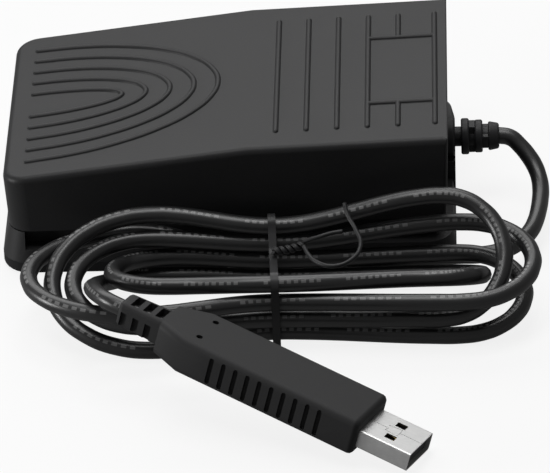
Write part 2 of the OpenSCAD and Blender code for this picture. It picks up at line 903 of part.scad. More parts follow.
lead_route = [
    [exit_x - corner[0] - seat_in, -corner[1], cord_z],
    [exit_x - corner[0], -corner[1], cord_z],
    [exit_x - corner[0] + 2.7, -corner[1] - 0.4, cord_z - 0.4],
    [exit_x - corner[0] + 4.9, -corner[1] - 1.7, cord_z - 1.9],
    [exit_x - corner[0] + 6.8, -corner[1] - 3.5, cord_z - 3.6],
    [18.8, 28.3, 9.5],
    [19.7, 25.6, 8],
    [20, 22.4, 6.9],
    [19.8, 18.6, 6.2],
    [19.3, 14.4, 5.8],
    [18.5, 10.2, 5.5],
    [17.2, 6, 5.4],
    [15.2, 2.4, 5.3],
    [12.4, -0.6, 5.2],
    [8.9, -2.5, 5.1],
    [lead_end[0] + cord_d, lead_end[1], level(far_rear[0])],
    [lead_end[0], lead_end[1], level(far_rear[0])]
];
tail_z = level(far_front[loops]);
tail_route = [
    [tail_start[0] - cord_d, tail_start[1], tail_z],
    [tail_start[0] - 2 * cord_d, tail_start[1], tail_z],
    [-75, -8, tail_z + 0.1],
    [-77.6, -9.3, tail_z + 0.5],
    [-79.9, -11.4, tail_z + 1.2],
    [-81.4, -14.1, 6.5],
    [-82.6, -17.2, 7.9],
    [-83, -20.6, 9.7],
    [-83, -25.4, 12.5],
    [-82.9, -30.2, 15.4],
    [-82.4, -35.2, 18.2],
    [-81, -40.4, 20.2],
    [-78.4, -44.8, 21.1],
    plug_spot(-relief_end),
    plug_spot(seat_in - relief_end)
];
lead_length = [for (i = [1 : len(lead_route) - 1]) norm(lead_route[i] - lead_route[i - 1])]
    * [for (i = [1 : len(lead_route) - 1]) 1];
tail_length = [for (i = [1 : len(tail_route) - 1]) norm(tail_route[i] - tail_route[i - 1])]
    * [for (i = [1 : len(tail_route) - 1]) 1];
echo(lead_length = lead_length, tail_length = tail_length);

module cable_lead() {
    color("#151517")
        translate(corner)
            tube(lead_route, cord_d, 8);
}

module cable_hank() {
    color("#151517")
        translate(corner)
            tube(hank_route, cord_d, 6);
}

module cable_tail() {
    color("#151517")
        translate(corner)
            tube(tail_route, cord_d, 8);
}

// Flat coated wire round the waist of the hank, twisted once, with two loose ends
tie_w = 1.8;
tie_t = 0.5;
tie_out = cord_d / 2 + 0.3;
tie_bend = 0.6 * tie_out;
far_side = far_tie_y[4];
far_top = far_tie(4)[1] + tie_out + tie_t;
near_side = near_tie[3];
near_top = level(3) + tie_lift + tie_out + tie_t;
dip_y = -16.5;
dip_half = 1.9;
dip_z = 14.2;
tie_loop = [
    [near_tie[2] - tie_out - tie_t, 0.05],
    [far_tie_y[0] + tie_out + tie_t, 0.05],
    [far_tie_y[0] + tie_out + tie_t, level(0) + tie_lift + cord_d],
    [far_side + tie_out + tie_t, far_top - tie_bend],
    [far_side + tie_bend, far_top],
    [far_side - tie_bend, far_top],
    [far_side - tie_out - tie_t, far_top - tie_bend],
    [dip_y + dip_half, dip_z],
    [dip_y - dip_half, dip_z],
    [near_side + tie_out + tie_t, near_top - tie_bend],
    [near_side + tie_bend, near_top],
    [near_side - tie_bend, near_top],
    [near_tie[2] - tie_out - tie_t, near_top - tie_bend]
];
loose_wire = 1.1;
knot_at = [tie_x, dip_y - 0.4, dip_z + loose_wire / 2 + fit];
module twist_tie() {
    end_a = [
        knot_at,
        knot_at + [3, -0.2, 0.4],
        knot_at + [6.4, -0.8, 1.8],
        knot_at + [8.2, -3.2, 2],
        knot_at + [10, -6.4, 2],
        knot_at + [14, -8.8, 2.2],
        knot_at + [18.2, -7, 2.8],
        knot_at + [20.2, -3, 4],
        knot_at + [19, 1.6, 5.6],
        knot_at + [17.2, 5, 7.4],
        knot_at + [16.6, 7.3, 9]
    ];
    end_b = [
        knot_at + [0, 1.3, 0],
        knot_at + [3, 1.2, 0.6],
        knot_at + [6.7, 0.6, 2.2],
        knot_at + [10.9, 1.1, 4],
        knot_at + [16, 2.2, 4.6]
    ];
    color("#1b1b1d")
        translate(corner) {
            translate([tie_x - tie_w / 2, 0, 0])
                rotate([90, 0, 90])
                    linear_extrude(tie_w)
                        difference() {
                            polygon(tie_loop);
                            offset(delta = -tie_t) polygon(tie_loop);
                        }
            tube(end_a, loose_wire, 6);
            tube(end_b, loose_wire, 6);
        }
}

// Plug: its own X runs out of the shell, its Z is up
module on_plug() {
    translate(corner + plug_at)
        rotate(plug_turn)
            children();
}

module plug_section(w, h, c, from, to) {
    translate([from, 0, 0])
        rotate([90, 0, 90])
            linear_extrude(to - from)
                polygon([
                    [-w / 2 + c, -h / 2], [w / 2 - c, -h / 2], [w / 2, -h / 2 + c], [w / 2, h / 2 - c],
                    [w / 2 - c, h / 2], [-w / 2 + c, h / 2], [-w / 2, h / 2 - c], [-w / 2, -h / 2 + c]
                ]);
}

// Moulding: it sits a little higher than the shell that it holds
module plug_overmould() {
    rung = [[0, 0.9, 7.6], [2.9, 4.1, 7.2], [6, 7.2, 6.9], [9.2, 11.5, 6.6]];
    grip_x = 9.5;
    grip_step = 3.05;
    color("#2a2a2c")
        on_plug()
            difference() {
                translate([0, 0, mould_rise])
                    difference() {
                        union() {
                            plug_section(plug_w, plug_h, 1.8, -plug_l, 0);
                            hull() {
                                plug_section(plug_w, plug_h, 1.8, -plug_l, -plug_l + 0.1);
                                plug_section(hip_w, hip_h, 1.8, -relief_x - 0.1, -relief_x);
                            }
                            translate([-relief_end, 0, 0])
                                rotate([0, 90, 0])
                                    cylinder(d = cord_d + 1.6, h = relief_end - relief_x + 0.1);
                            for (q = rung)
                                translate([-relief_x - q[1], 0, 0])
                                    rotate([0, 90, 0])
                                        cylinder(d = q[2], h = q[1] - q[0]);
                            for (s = [-1, 1])
                                translate([-relief_end + 0.5, s * 2.9 - 0.6, -1.4])
                                    cube([relief_end - relief_x, 1.2, 2.8]);
                        }
                        for (i = [0 : 9], s = [-1, 1])
                            translate([
                                -grip_x - i * grip_step - 0.6,
                                s * plug_w / 2 - 0.9,
                                -plug_h / 2 + 1.2
                            ])
                                cube([1.2, 1.8, plug_h - 2.4]);
                        for (y = [-4, 4])
                            translate([2.4 - plug_l, y, plug_h / 2 - 0.8])
                                cylinder(d = 1.5, h = 2, $fn = 24);
                        translate([-relief_end - 1, 0, 0])
                            rotate([0, 90, 0])
                                cylinder(d = cord_d + 2 * fit, h = relief_end - cavity_x + 3);
                    }
                translate([-cavity_x, -board_w / 2 - 0.4, -cavity_h / 2])
                    cube([cavity_x - shell_in + fit, board_w + 0.8, cavity_h]);
                translate([-shell_in - fit, -shell_w / 2 - fit, -shell_h / 2 - fit])
                    cube([shell_in + 1, shell_w + 2 * fit, shell_h + 2 * fit]);
            }
}

module plug_cable() {
    color("#151517")
        on_plug()
            translate([seat_in - relief_end, 0, mould_rise])
                rotate([0, 90, 0])
                    cylinder(d = cord_d, h = relief_end - seat_in - cavity_x + 1);
}

module plug_board() {
    color("#1f5a36")
        on_plug()
            translate([-shell_in - 0.3 - board_l, -board_w / 2, board_z])
                cube([board_l, board_w, board_t]);
}

module controller_chip() {
    color("#202022")
        on_plug()
            translate([-chip_x, -chip_w / 2, board_z + board_t + fit])
                cube([chip_w, chip_w, chip_t]);
}

module board_parts() {
    part = [
        [-14, -3.2, 3.2, 2.5, 0.9],
        [-14, 1.4, 2, 1.2, 0.8],
        [-31, -4, 2, 1.2, 0.8],
        [-31, 2.4, 2, 1.2, 0.8]
    ];
    color("#c9c2a8")
        on_plug()
            for (q = part)
                translate([q[0], q[1], board_z + board_t + fit])
                    cube([q[2], q[3], q[4]]);
}

module usb_shell() {
    window = [2.5, 1.9];
    color("#c3c6ca")
        on_plug()
            difference() {
                translate([-shell_in, -shell_w / 2, -shell_h / 2])
                    cube([shell_in + shell_out, shell_w, shell_h]);
                translate([-shell_in - 1, -shell_w / 2 + shell_t, -shell_h / 2 + shell_t])
                    cube([shell_in + shell_out + 2, shell_w - 2 * shell_t, shell_h - 2 * shell_t]);
                for (s = [-1, 1])
                    translate([shell_out - 7.7, s * 2.9 - window[1] / 2, -shell_h])
                        cube([window[0], window[1], 2 * shell_h]);
            }
}

tongue_w = shell_w - 2 * shell_t - 0.2;
tongue_h = shell_h - 2 * shell_t - 0.2;
tongue_t = 1.8;
tongue_in = 0.9;
module usb_tongue() {
    color("#e8e6e0")
        on_plug() {
            translate([-shell_in + 0.3, -tongue_w / 2, -tongue_h / 2])
                cube([shell_in + 3.2, tongue_w, tongue_h]);
            translate([0, -tongue_w / 2, -tongue_h / 2])
                cube([shell_out - tongue_in, tongue_w, tongue_t]);
        }
}

module usb_contacts() {
    color("#c9a558")
        on_plug()
            for (y = contact_y)
                translate([3.6, y - 0.5, -tongue_h / 2 + tongue_t + fit / 2])
                    cube([shell_out - tongue_in - 4.2 - (abs(y) < 2 ? 1 : 0), 1, 0.2]);
}
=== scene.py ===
# %% [markdown]
# # A USB foot pedal
#
# The pedal is a wedge-shaped moulding, hinged at its low end over a snap switch. Its cord lies beside it,
# tied into a hank, and ends in a long moulded USB plug. The imported CAD model gives every place and size;
# this lesson dresses it. The first cell loads that frame.

# %% The frame
import json
import math

import bmesh
import bpy
from mathutils import Matrix, Vector

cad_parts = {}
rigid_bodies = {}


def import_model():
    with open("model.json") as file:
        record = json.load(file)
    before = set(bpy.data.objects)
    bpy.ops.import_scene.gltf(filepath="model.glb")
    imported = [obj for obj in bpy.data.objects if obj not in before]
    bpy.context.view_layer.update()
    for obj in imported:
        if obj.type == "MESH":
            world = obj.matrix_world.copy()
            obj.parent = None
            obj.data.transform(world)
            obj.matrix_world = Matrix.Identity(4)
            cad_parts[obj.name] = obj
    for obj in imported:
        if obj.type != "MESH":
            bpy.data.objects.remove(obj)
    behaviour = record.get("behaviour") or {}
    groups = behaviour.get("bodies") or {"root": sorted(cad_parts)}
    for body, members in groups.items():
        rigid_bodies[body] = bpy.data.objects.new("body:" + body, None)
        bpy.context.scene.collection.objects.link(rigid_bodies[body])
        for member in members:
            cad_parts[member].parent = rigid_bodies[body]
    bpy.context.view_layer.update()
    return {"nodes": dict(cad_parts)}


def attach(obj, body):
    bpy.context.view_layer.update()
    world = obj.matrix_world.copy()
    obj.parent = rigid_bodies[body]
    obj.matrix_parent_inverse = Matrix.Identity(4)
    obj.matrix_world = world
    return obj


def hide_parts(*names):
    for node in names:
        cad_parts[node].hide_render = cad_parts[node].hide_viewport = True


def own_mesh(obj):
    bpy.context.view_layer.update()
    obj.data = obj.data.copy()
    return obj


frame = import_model()
nodes = frame["nodes"]
MM = 0.001
print("CAD nodes loaded:", len(nodes))

# %% [markdown]
# ## Camera
#
# A long lens from well in front and above keeps the edges of the pedal nearly parallel. A camera can be
# aimed with a tracking constraint, but its own right and up directions say just as much and leave nothing
# to be solved.

# %% Camera
PHOTO_WIDTH = 550
FOCAL_PIXELS = 5779.65
EYE = Vector((58.46, -1171.47, 720.59)) * MM
LOOK_RIGHT = Vector((0.99916, 0.01907, -0.03628))
LOOK_UP = Vector((0.02063, 0.53076, 0.84727))
CLIP_FAR = 20

camera_data = bpy.data.cameras.new("camera")
camera_data.sensor_fit = "HORIZONTAL"
camera_data.lens = camera_data.sensor_width * FOCAL_PIXELS / PHOTO_WIDTH
camera_data.clip_end = CLIP_FAR
camera = bpy.data.objects.new("camera", camera_data)
look_back = LOOK_RIGHT.cross(LOOK_UP)
turn = Matrix((LOOK_RIGHT, LOOK_UP, look_back)).transposed().to_4x4()
camera.matrix_world = Matrix.Translation(EYE) @ turn
bpy.context.scene.collection.objects.link(camera)
bpy.context.scene.camera = camera
bpy.context.scene.view_settings.view_transform = "Standard"
print(f"lens {camera_data.lens:.1f} mm")

# %% [markdown]
# ## Shader arithmetic
#
# A material is a graph of nodes, and a graph written node by node is hard to read. This small class wraps
# one socket of a graph. Python operators on it add Math nodes, and its node method adds any other kind.


# %% The Shade class
class Shade:
    """A socket of a node tree: operators add Math nodes, and node() adds any other kind."""

    def __init__(self, tree, socket=None):
        self.tree = tree
        self.socket = socket

    def node(self, kind, settings=None, inputs=None, out=0):
        made = self.tree.nodes.new(kind)
        for name, value in (settings or {}).items():
            setattr(made, name, value)
        for name, value in (inputs or {}).items():
            if isinstance(value, Shade):
                self.tree.links.new(value.socket, made.inputs[name])
            else:
                made.inputs[name].default_value = value
        return Shade(self.tree, made.outputs[out])

    def math(self, operation, first, second):
        return self.node("ShaderNodeMath", {"operation": operation}, {0: first, 1: second})

    def __add__(self, other):
        return self.math("ADD", self, other)

    def __radd__(self, other):
        return self.math("ADD", other, self)

    def __sub__(self, other):
        return self.math("SUBTRACT", self, other)

    def __mul__(self, other):
        return self.math("MULTIPLY", self, other)

    def __rmul__(self, other):
        return self.math("MULTIPLY", other, self)

    def __lt__(self, other):
        return self.math("LESS_THAN", self, other)

    def __gt__(self, other):
        return self.math("GREATER_THAN", self, other)

    def __mod__(self, other):
        return self.math("MODULO", self, other)

    def blend_colours(self, first, second):
        """The first colour where this value is 0, the second where it is 1."""
        colours = {"Factor": self, 6: first, 7: second}
        return self.node("ShaderNodeMix", {"data_type": "RGBA"}, colours, out=2)


def start_finish(name, **constants):
    """A new material with its main shader, whose constant sockets are set here."""
    material = bpy.data.materials.new(name)
    material.use_nodes = True
    tree = material.node_tree
    shader = tree.nodes["Principled BSDF"]
    for socket, value in constants.items():
        shader.inputs[socket.replace("_", " ")].default_value = value
    return material, Shade(tree), shader


def feed(shade, shader, **links):
    """Joins varying values to the sockets of the main shader."""
    for socket, value in links.items():
        shade.tree.links.new(value.socket, shader.inputs[socket.replace("_", " ")])


print("shader helpers ready")

# %% [markdown]
# ## Floor, light and background
#
# The pedal stands on plain white. A brighter lamp would make the floor white and burn out everything
# else, so the floor is only shown white to the eye, pale to mirrors, and for stray light it stays a plain
# grey. Two wide soft boxes, one behind and one overhead, give the sheen on the tops, and a small low one
# on the left keeps the near side readable.

# %% Floor
FLOOR_HALF = 3.0
FLOOR_GREY = (0.1, 0.1, 0.1, 1)
FLOOR_WHITE = (1, 1, 1, 1)
FLOOR_GLOW_SHARE = 0.85
MIRROR_SHARE = 0.14


def white_for_the_eye(shade):
    """1 for rays from the camera, a share of it for mirror and glass rays, 0 for stray light."""
    eye = shade.node("ShaderNodeLightPath", out="Is Camera Ray")
    mirror = shade.node("ShaderNodeLightPath", out="Is Glossy Ray")
    glass = shade.node("ShaderNodeLightPath", out="Is Transmission Ray")
    return eye.math("MAXIMUM", eye, MIRROR_SHARE * eye.math("MAXIMUM", mirror, glass))


def floor_finish():
    material, shade, shader = start_finish("floor_white", Roughness=1.0, Specular_IOR_Level=0.0)
    seen = white_for_the_eye(shade)
    feed(shade, shader, Base_Color=seen.blend_colours(FLOOR_GREY, FLOOR_WHITE))
    glow = shade.node("ShaderNodeEmission", inputs={"Color": FLOOR_WHITE, "Strength": 1.0})
    main = Shade(shade.tree, shader.outputs[0])
    mixed = shade.node("ShaderNodeMixShader", inputs={0: seen * FLOOR_GLOW_SHARE, 1: main, 2: glow})
    shade.tree.links.new(mixed.socket, shade.tree.nodes["Material Output"].inputs[0])
    return material


bm = bmesh.new()
bmesh.ops.create_grid(bm, x_segments=1, y_segments=1, size=FLOOR_HALF)
floor_mesh = bpy.data.meshes.new("floor")
bm.to_mesh(floor_mesh)
bm.free()
floor_mesh.materials.append(floor_finish())
floor = bpy.data.objects.new("floor", floor_mesh)
bpy.context.scene.collection.objects.link(floor)
print("floor laid")

# %% Lamps and world
SOFT_BOXES = {
    "back_box": {"at": (-0.2, 0.8, 0.8), "aim": (0.0, -0.03, 0.01), "size": (1.2, 0.7), "watts": 6.2},
    "top_box": {"at": (-0.05, 0.02, 1.1), "aim": (0.0, -0.03, 0.0), "size": (0.9, 0.4), "watts": 5.2},
    "left_box": {"at": (-0.55, -0.14, 0.1), "aim": (0.0, -0.11, 0.01), "size": (0.2, 0.12), "watts": 1.4},
}
for name, lamp in SOFT_BOXES.items():
    light = bpy.data.lights.new(name, "AREA")
    light.shape = "RECTANGLE"
    light.size, light.size_y = lamp["size"]
    light.energy = lamp["watts"]
    box = bpy.data.objects.new(name, light)
    box.location = lamp["at"]
    aim = Vector(lamp["aim"]) - Vector(lamp["at"])
    box.rotation_euler = aim.to_track_quat("-Z", "Y").to_euler()
    bpy.context.scene.collection.objects.link(box)

world = bpy.data.worlds.new("studio")
world.use_nodes = True
bpy.context.scene.world = world
sky = Shade(world.node_tree)
ROOM_GREY = (0.055, 0.055, 0.055, 1)
room = white_for_the_eye(sky).blend_colours(ROOM_GREY, FLOOR_WHITE)
sky.tree.links.new(room.socket, sky.tree.nodes["Background"].inputs["Color"])
print("lamps:", len(SOFT_BOXES))

# %% [markdown]
# ## Finishes
#
# Nearly everything here is black, so the finishes differ in grain and gloss more than in colour: grained
# mouldings scatter the light, the cord's jacket is satin, the rubber is dull, and the plug's shell is
# bright metal with fine rolling lines. Grain and lines read object coordinates, which are metres in the
# shared frame.

# %% Plastics and rubber
DRIFT_SCALE, DRIFT_DETAIL, DRIFT_SHARE = 70.0, 5.0, 0.55
PIT_DETAIL, PIT_STRENGTH = 2.0, 0.6
GLOSS_SPREAD = 0.16


def grained(name, dark, light, roughness, grain, depth, gloss=0.3):
    """Moulded finish: fine pits in the surface and a slow drift of tone and roughness."""
    material, shade, shader = start_finish(name, Specular_IOR_Level=gloss)
    place = shade.node("ShaderNodeTexCoord", out="Object")
    pits = shade.node("ShaderNodeTexNoise", inputs={"Vector": place, "Scale": grain, "Detail": PIT_DETAIL})
    slow = {"Vector": place, "Scale": DRIFT_SCALE, "Detail": DRIFT_DETAIL}
    drift = shade.node("ShaderNodeTexNoise", inputs=slow)
    tone = DRIFT_SHARE * drift + (1 - DRIFT_SHARE) * pits
    bump = {"Strength": PIT_STRENGTH, "Distance": depth, "Height": pits}
    feed(
        shade,
        shader,
        Base_Color=tone.blend_colours((*dark, 1), (*light, 1)),
        Roughness=roughness - GLOSS_SPREAD / 2 + GLOSS_SPREAD * tone,
        Normal=shade.node("ShaderNodeBump", inputs=bump),
    )
    return material


cover_plastic = grained(
    "cover_plastic", (0.017, 0.017, 0.0175), (0.034, 0.034, 0.035), 0.46, 2600, 0.03 * MM, 0.25
)
base_plastic = grained(
    "base_plastic", (0.018, 0.018, 0.0185), (0.036, 0.036, 0.037), 0.52, 2600, 0.02 * MM, 0.25
)
plug_plastic = grained(
    "plug_plastic", (0.024, 0.024, 0.0245), (0.046, 0.046, 0.047), 0.6, 3400, 0.03 * MM, 0.25
)
sole_rubber = grained(
    "sole_rubber", (0.016, 0.016, 0.017), (0.03, 0.03, 0.031), 0.75, 900, 0.03 * MM, 0.2
)
switch_plastic = grained(
    "switch_plastic", (0.018, 0.018, 0.019), (0.04, 0.04, 0.042), 0.5, 3000, 0.02 * MM
)
tongue_plastic = grained(
    "tongue_plastic", (0.012, 0.012, 0.013), (0.025, 0.025, 0.026), 0.45, 3000, 0.01 * MM
)
plunger_plastic = grained("plunger_plastic", (0.4, 0.04, 0.03), (0.5, 0.07, 0.05), 0.35, 3000, 0.01 * MM)
wire_jacket = grained("wire_jacket", (0.36, 0.04, 0.03), (0.46, 0.06, 0.05), 0.4, 1500, 0.01 * MM)
tie_coating = grained("tie_coating", (0.018, 0.018, 0.019), (0.035, 0.035, 0.036), 0.42, 1200, 0.02 * MM)
board_green = grained("board_green", (0.02, 0.13, 0.05), (0.04, 0.2, 0.08), 0.35, 1800, 0.02 * MM)
board_ceramic = grained("board_ceramic", (0.5, 0.44, 0.32), (0.62, 0.56, 0.44), 0.5, 4000, 0.01 * MM)
strain_plastic = grained(
    "strain_plastic", (0.018, 0.018, 0.019), (0.036, 0.036, 0.038), 0.48, 2600, 0.02 * MM
)
print("plastics and rubber mixed")

# %% Metals
LINE_SCALE, LINE_DETAIL = (60, 2600, 2600), 3.0
BLOTCH_SCALE, BLOTCH_DETAIL = 500.0, 4.0
METAL_STRENGTH, METAL_DEPTH = 0.25, 0.01 * MM
METAL_SPREAD = 0.2


def rolled_metal(name, dark, light, roughness, turn_degrees=0.0):
    """Sheet or wire metal: rolling lines along one direction, with soft blotches."""
    material, shade, shader = start_finish(name, Metallic=1.0)
    place = shade.node("ShaderNodeTexCoord", out="Object")
    lined = {"Vector": place, "Rotation": (0, 0, math.radians(turn_degrees)), "Scale": LINE_SCALE}
    lines = shade.node("ShaderNodeMapping", inputs=lined)
    streak = shade.node("ShaderNodeTexNoise", inputs={"Vector": lines, "Scale": 1.0, "Detail": LINE_DETAIL})
    soft = {"Vector": place, "Scale": BLOTCH_SCALE, "Detail": BLOTCH_DETAIL}
    blotch = shade.node("ShaderNodeTexNoise", inputs=soft)
    tone = 0.5 * streak + 0.5 * blotch
    bump = {"Strength": METAL_STRENGTH, "Distance": METAL_DEPTH, "Height": tone}
    feed(
        shade,
        shader,
        Base_Color=tone.blend_colours((*dark, 1), (*light, 1)),
        Roughness=roughness - METAL_SPREAD / 2 + METAL_SPREAD * blotch,
        Normal=shade.node("ShaderNodeBump", inputs=bump),
    )
    return material


PLUG_YAW = -26.9
shell_steel = rolled_metal("shell_steel", (0.58, 0.58, 0.58), (0.8, 0.8, 0.79), 0.42, -PLUG_YAW)
steel = rolled_metal("steel", (0.45, 0.45, 0.46), (0.62, 0.62, 0.63), 0.32)
brass = rolled_metal("brass", (0.6, 0.42, 0.16), (0.8, 0.6, 0.25), 0.3)
print("metals mixed")

# %% [markdown]
# ## The cord
#
# The cord is a round jacket of 4 mm with a satin skin. It leaves the strain relief, drops beside the
# pedal, runs four times round the hank, leaves it along its foot and climbs inside the left loops to the
# plug. A bevelled curve keeps the section round in every bend, which a chain of cylinders would not. The
# loose stretches are listed points. The hank follows a rule: each loop is two half ellipses,
# joined by two runs drawn together at the tie. The jacket's printed legend is left off; a line of plain
# dashes, drawn on the curve's UV map, has its place.

# %% Loose stretches of the cord
CORD_D = 4.0
CORNER = Vector((53.0, -34.0, 0.0))
LEAD_ROUTE = [
    (6.5, 34, 14.8), (10.5, 34, 14.8), (13.2, 33.6, 14.4), (15.4, 32.3, 12.9),
    (17.3, 30.5, 11.2), (18.8, 28.3, 9.5), (19.7, 25.6, 8), (20, 22.4, 6.9),
    (19.8, 18.6, 6.2), (19.3, 14.4, 5.8), (18.5, 10.2, 5.5), (17.2, 6, 5.4),
    (15.2, 2.4, 5.3), (12.4, -0.6, 5.2), (8.9, -2.5, 5.1), (5, -3.2, 5),
]
TAIL_ROUTE = [
    (-72, -7.6, 3.8), (-75, -8, 3.9), (-77.6, -9.3, 4.3), (-79.9, -11.4, 5.0),
    (-81.4, -14.1, 6.3), (-82.6, -17.2, 7.9), (-83, -20.6, 9.7), (-83, -25.4, 12.5),
    (-82.9, -30.2, 15.4), (-82.4, -35.2, 18.2), (-81, -40.4, 20.2), (-78.4, -44.8, 21.1),
]
PLUG_AT = Vector((-19.9, -75.5, 5.9))
PLUG_ROLL, PLUG_PITCH = -7.0, 13.0
RELIEF_END = 63.5
MOULD_RISE = 0.6
CORD_SEAT = 4.0
plug_turn = (
    Matrix.Rotation(math.radians(PLUG_YAW), 4, "Z")
    @ Matrix.Rotation(math.radians(PLUG_PITCH), 4, "Y")
    @ Matrix.Rotation(math.radians(PLUG_ROLL), 4, "X")
)
plug_place = Matrix.Translation(CORNER + PLUG_AT) @ plug_turn
mould_place = plug_place @ Matrix.Translation((0, 0, MOULD_RISE))
print("plug points along", (plug_turn @ Vector((1, 0, 0))).to_tuple(3))

# %% The rule of the hank
LAYER = 4.6
TIE_X, TIE_LIFT, TIE_STEP = -42.0, 0.7, 0.5
LOOPS = 4
# Tip along X, middle along Y, half width and depth of each turn
REAR_LOOPS = [(17.5, -20.5, 13.5, 16), (11, -20, 12.5, 14), (15.5, -20, 12.5, 15), (6, -18, 9.5, 9.5)]
FRONT_LOOPS = [(-98, -21.2, 19, 25), (-88, -21, 14.2, 17), (-92.8, -20.5, 15.8, 23), (-79, -18.3, 11.2, 13.5)]
# Height of the two ends of each run, in layers of cord
FAR_REAR = [0.65, 3.15, 4.8, 1.4, 0.35]
FAR_FRONT = [2.3, 2.5, 3.65, 1.45, 0.4]
NEAR_FRONT = [2.6, 1.25, 0, 2.8]
NEAR_REAR = [2.15, 1, 0, 2.7]
# Where each place in the tie lies along Y, and which place each run takes
NEAR_TIE = [-30.4, -32.4, -32.6, -32]
FAR_TIE = [-3.6, -8.2, -8, -8, -7.8]
NEAR_PLACE = [2, 1, 0, 3]
FAR_PLACE = [0, 3, 4, 2, 1]
LEAD_END = (1, -3.2)
TAIL_START = (-64, -7.6)
RUN_POINTS, CAP_POINTS = 10, 9


def level(layer):
    return CORD_D / 2 + LAYER * layer


def rear_far(j):
    """Where the far run of loop j starts, at the cord end of the hank."""
    if j == 0:
        return Vector((*LEAD_END, level(FAR_REAR[0])))
    tip, mid, half, depth = REAR_LOOPS[j - 1]
    return Vector((tip - depth, mid + half, level(FAR_REAR[j])))


def front_far(j):
    """Where the far run of loop j ends, at the low end of the pedal."""
    if j == LOOPS:
        return Vector((*TAIL_START, level(FAR_FRONT[LOOPS])))
    tip, mid, half, depth = FRONT_LOOPS[j]
    return Vector((tip + depth, mid + half, level(FAR_FRONT[j])))


def run(start, end, tie_y, tie_z):
    """Points of a run that eases towards the tie and away from it."""
    high, low = max(start.x, end.x), min(start.x, end.x)
    points = []
    for i in range(1, RUN_POINTS + 1):
        x = start.x + (end.x - start.x) * i / RUN_POINTS
        share = (x - TIE_X) / (high - TIE_X) if x > TIE_X else (TIE_X - x) / (TIE_X - low)
        ease = (1 - math.cos(math.pi * share)) / 2
        loose = start if (x > TIE_X) == (start.x > end.x) else end
        points.append(Vector((x, tie_y + (loose.y - tie_y) * ease, tie_z + (loose.z - tie_z) * ease)))
    return points


def cap(x, depth, mid, half, low, high):
    """Points of a half ellipse that turns one run into the next."""
    points = []
    for i in range(1, CAP_POINTS + 1):
        angle = math.pi * i / CAP_POINTS
        climb = (high - low) * (1 - math.cos(angle)) / 2
        points.append(Vector((x + depth * math.sin(angle), mid + half * math.cos(angle), low + climb)))
    return points


def far_run(j):
    place = FAR_PLACE[j]
    tie_z = level(max(place - 1, 0)) + TIE_LIFT + (TIE_STEP if place > 0 else 0)
    return run(rear_far(j), front_far(j), FAR_TIE[place], tie_z)


def loop(j):
    rear_tip, rear_mid, rear_half, rear_depth = REAR_LOOPS[j]
    front_tip, front_mid, front_half, front_depth = FRONT_LOOPS[j]
    front = Vector((front_tip + front_depth, front_mid - front_half, level(NEAR_FRONT[j])))
    rear = Vector((rear_tip - rear_depth, rear_mid - rear_half, level(NEAR_REAR[j])))
    place = NEAR_PLACE[j]
    points = far_run(j)
    points += cap(front.x, -front_depth, front_mid, front_half, front_far(j).z, front.z)
    points += run(front, rear, NEAR_TIE[place], level(place) + TIE_LIFT)
    points += cap(rear.x, rear_depth, rear_mid, -rear_half, rear.z, rear_far(j + 1).z)
    return points


hank_points = [rear_far(0)]
for j in range(LOOPS):
    hank_points += loop(j)
hank_points += far_run(LOOPS)
plug_end = [mould_place @ Vector((x, 0, 0)) for x in (-RELIEF_END, CORD_SEAT - RELIEF_END)]
cord_points = [CORNER + Vector(p) for p in LEAD_ROUTE] + [CORNER + p for p in hank_points]
cord_points += [CORNER + Vector(p) for p in TAIL_ROUTE] + plug_end
cord_length = sum((b - a).length for a, b in zip(cord_points, cord_points[1:])) * MM
print(f"cord: {len(cord_points)} points, {cord_length:.3f} m")

# %% Jacket of the cord
DASHES, DASH_SHARE, GROUP, GROUP_FILLED = 720, 0.6, 11, 8
DASH_PLACE, DASH_WANDER, DASH_HALF = 0.17, 0.13, 0.03
DASHES_START, WANDER_START, WANDER_TURNS = 0.09, 0.14, 5
DASH_GREY = (0.17, 0.17, 0.17, 1)
JACKET_DARK, JACKET_LIGHT = (0.012, 0.012, 0.0125, 1), (0.024, 0.024, 0.0245, 1)
JACKET_GLOSS, JACKET_ROUGHNESS, JACKET_SPREAD = 0.7, 0.3, 0.1
GRAIN_SCALE, GRAIN_DETAIL, GRAIN_STRENGTH, GRAIN_DEPTH = 1600.0, 2.0, 0.35, 0.02 * MM
SHEEN_SCALE, SHEEN_DETAIL = 90.0, 4.0
CORD_STEPS, BEVEL_STEPS = 6, 4


def printed_dashes(shade):
    """1 on groups of small dashes along the jacket; the line of dashes wanders a little round it."""
    spot = shade.node("ShaderNodeTexCoord", out="UV")
    along = shade.node("ShaderNodeSeparateXYZ", inputs={0: spot}, out=0)
    around = shade.node("ShaderNodeSeparateXYZ", inputs={0: spot}, out=1)
    wander = along.math("SINE", (along - WANDER_START) * (2 * math.pi * WANDER_TURNS), 0)
    aside = around - (DASH_PLACE + DASH_WANDER * wander)
    step = DASHES * along
    dash = (step % 1 < DASH_SHARE) * (step % GROUP < GROUP_FILLED) * (along > DASHES_START)
    return dash * (along.math("ABSOLUTE", aside, 0) < DASH_HALF)


